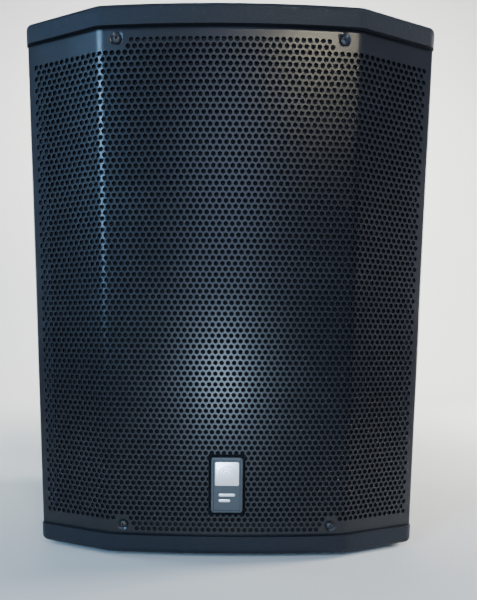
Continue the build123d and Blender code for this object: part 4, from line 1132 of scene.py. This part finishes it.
class CABINET_OT_stage(bpy.types.Operator):
    """Set the floor with its backdrop, the lights and the camera"""

    bl_idname = "cabinet.stage"
    bl_label = "Stage"

    def execute(self, context):
        self.backdrop()
        self.lights(context)
        self.camera(context)
        return {"FINISHED"}

    def backdrop(self):
        """A floor that curves up into a wall behind the cabinet."""
        shade = tuple(colours().floor)
        made = Finish("backdrop", Specular_IOR_Level=0.2)
        mottle = made.noise(3.0, 4.0)
        made.set(Base_Color=made.blend(mottle * 0.5, tinted(shade, 0.97), tinted(shade, 1.03)))
        made.set(Roughness=0.85 + mottle * 0.05)
        made.relief(made.noise(240.0, 3.0), 0.0002)
        bm = bmesh.new()
        start, radius = WALL_Y - COVE_RADIUS, COVE_RADIUS
        arc = [math.radians(90.0 * i / 12) for i in range(13)]
        points = [(start + radius * math.sin(a), radius - radius * math.cos(a)) for a in arc]
        points = [(FLOOR_FRONT, 0.0), *points, (WALL_Y, WALL_TOP)]
        verts = [bm.verts.new((-FLOOR_HALF_WIDTH, y, z)) for y, z in points]
        edges = [bm.edges.new(pair) for pair in zip(verts, verts[1:])]
        strip = bmesh.ops.extrude_edge_only(bm, edges=edges)["geom"]
        bmesh.ops.translate(bm, verts=verts_of(strip), vec=(2 * FLOOR_HALF_WIDTH, 0, 0))
        bm.normal_update()
        wrong = [f for f in bm.faces if f.normal.z < -0.001 or f.normal.y > 0.5]
        bmesh.ops.reverse_faces(bm, faces=wrong)
        mesh = bpy.data.meshes.new("backdrop")
        bm.to_mesh(mesh)
        bm.free()
        mesh.shade_smooth()
        mesh.materials.append(made.material)
        floor = bpy.data.objects.new("backdrop", mesh)
        bpy.context.scene.collection.objects.link(floor)
        floor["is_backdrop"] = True

    def lights(self, context):
        for lamp in LAMPS:
            soft_light(*lamp)
        world = bpy.data.worlds.new("room")
        world.use_nodes = True
        sky = world.node_tree.nodes["Background"]
        sky.inputs["Color"].default_value = ROOM_COLOUR
        sky.inputs["Strength"].default_value = ROOM_STRENGTH
        context.scene.world = world

    def camera(self, context):
        data = bpy.data.cameras.new("camera")
        data.sensor_width = 36.0
        data.lens = CAMERA_LENS
        data.shift_x, data.shift_y = CAMERA_SHIFT
        data.clip_start = 0.02
        made = bpy.data.objects.new("camera", data)
        context.scene.collection.objects.link(made)
        aim = (
            Matrix.Rotation(math.radians(CAMERA_TURN), 4, "Z")
            @ Matrix.Rotation(math.radians(90.0 + CAMERA_PITCH), 4, "X")
            @ Matrix.Rotation(math.radians(CAMERA_ROLL), 4, "Z")
        )
        made.matrix_world = Matrix.Translation(CAMERA_PLACE) @ aim
        context.scene.camera = made


# ---------------------------------------------------------------- panel and registration
OPERATORS = (
    CABINET_OT_finishes,
    CABINET_OT_grille,
    CABINET_OT_screws,
    CABINET_OT_foam,
    CABINET_OT_badge,
    CABINET_OT_suspension,
    CABINET_OT_padding,
    CABINET_OT_stage,
)


class CABINET_PT_panel(bpy.types.Panel):
    """Lists the cabinet's sizes, colours and pieces"""

    bl_label = "Loudspeaker Cabinet"
    bl_idname = "CABINET_PT_panel"
    bl_space_type = "VIEW_3D"
    bl_region_type = "UI"
    bl_category = "Cabinet"

    def draw(self, context):
        for group in (context.scene.cabinet_sizes, context.scene.cabinet_colours):
            box = self.layout.box()
            for key in group.__annotations__:
                box.prop(group, key)
        for operator in OPERATORS:
            self.layout.operator(operator.bl_idname)


CLASSES = (CabinetSizes, CabinetColours, *OPERATORS, CABINET_PT_panel)


def register():
    for item in CLASSES:
        bpy.utils.register_class(item)
    bpy.types.Scene.cabinet_sizes = bpy.props.PointerProperty(type=CabinetSizes)
    bpy.types.Scene.cabinet_colours = bpy.props.PointerProperty(type=CabinetColours)


def unregister():
    del bpy.types.Scene.cabinet_colours
    del bpy.types.Scene.cabinet_sizes
    for item in reversed(CLASSES):
        bpy.utils.unregister_class(item)


def main():
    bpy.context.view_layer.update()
    register()
    bpy.ops.cabinet.finishes()
    bpy.ops.cabinet.grille()
    bpy.ops.cabinet.screws()
    bpy.ops.cabinet.foam()
    bpy.ops.cabinet.badge()
    bpy.ops.cabinet.suspension()
    bpy.ops.cabinet.padding()
    bpy.ops.cabinet.stage()


if __name__ == "__main__":
    main()
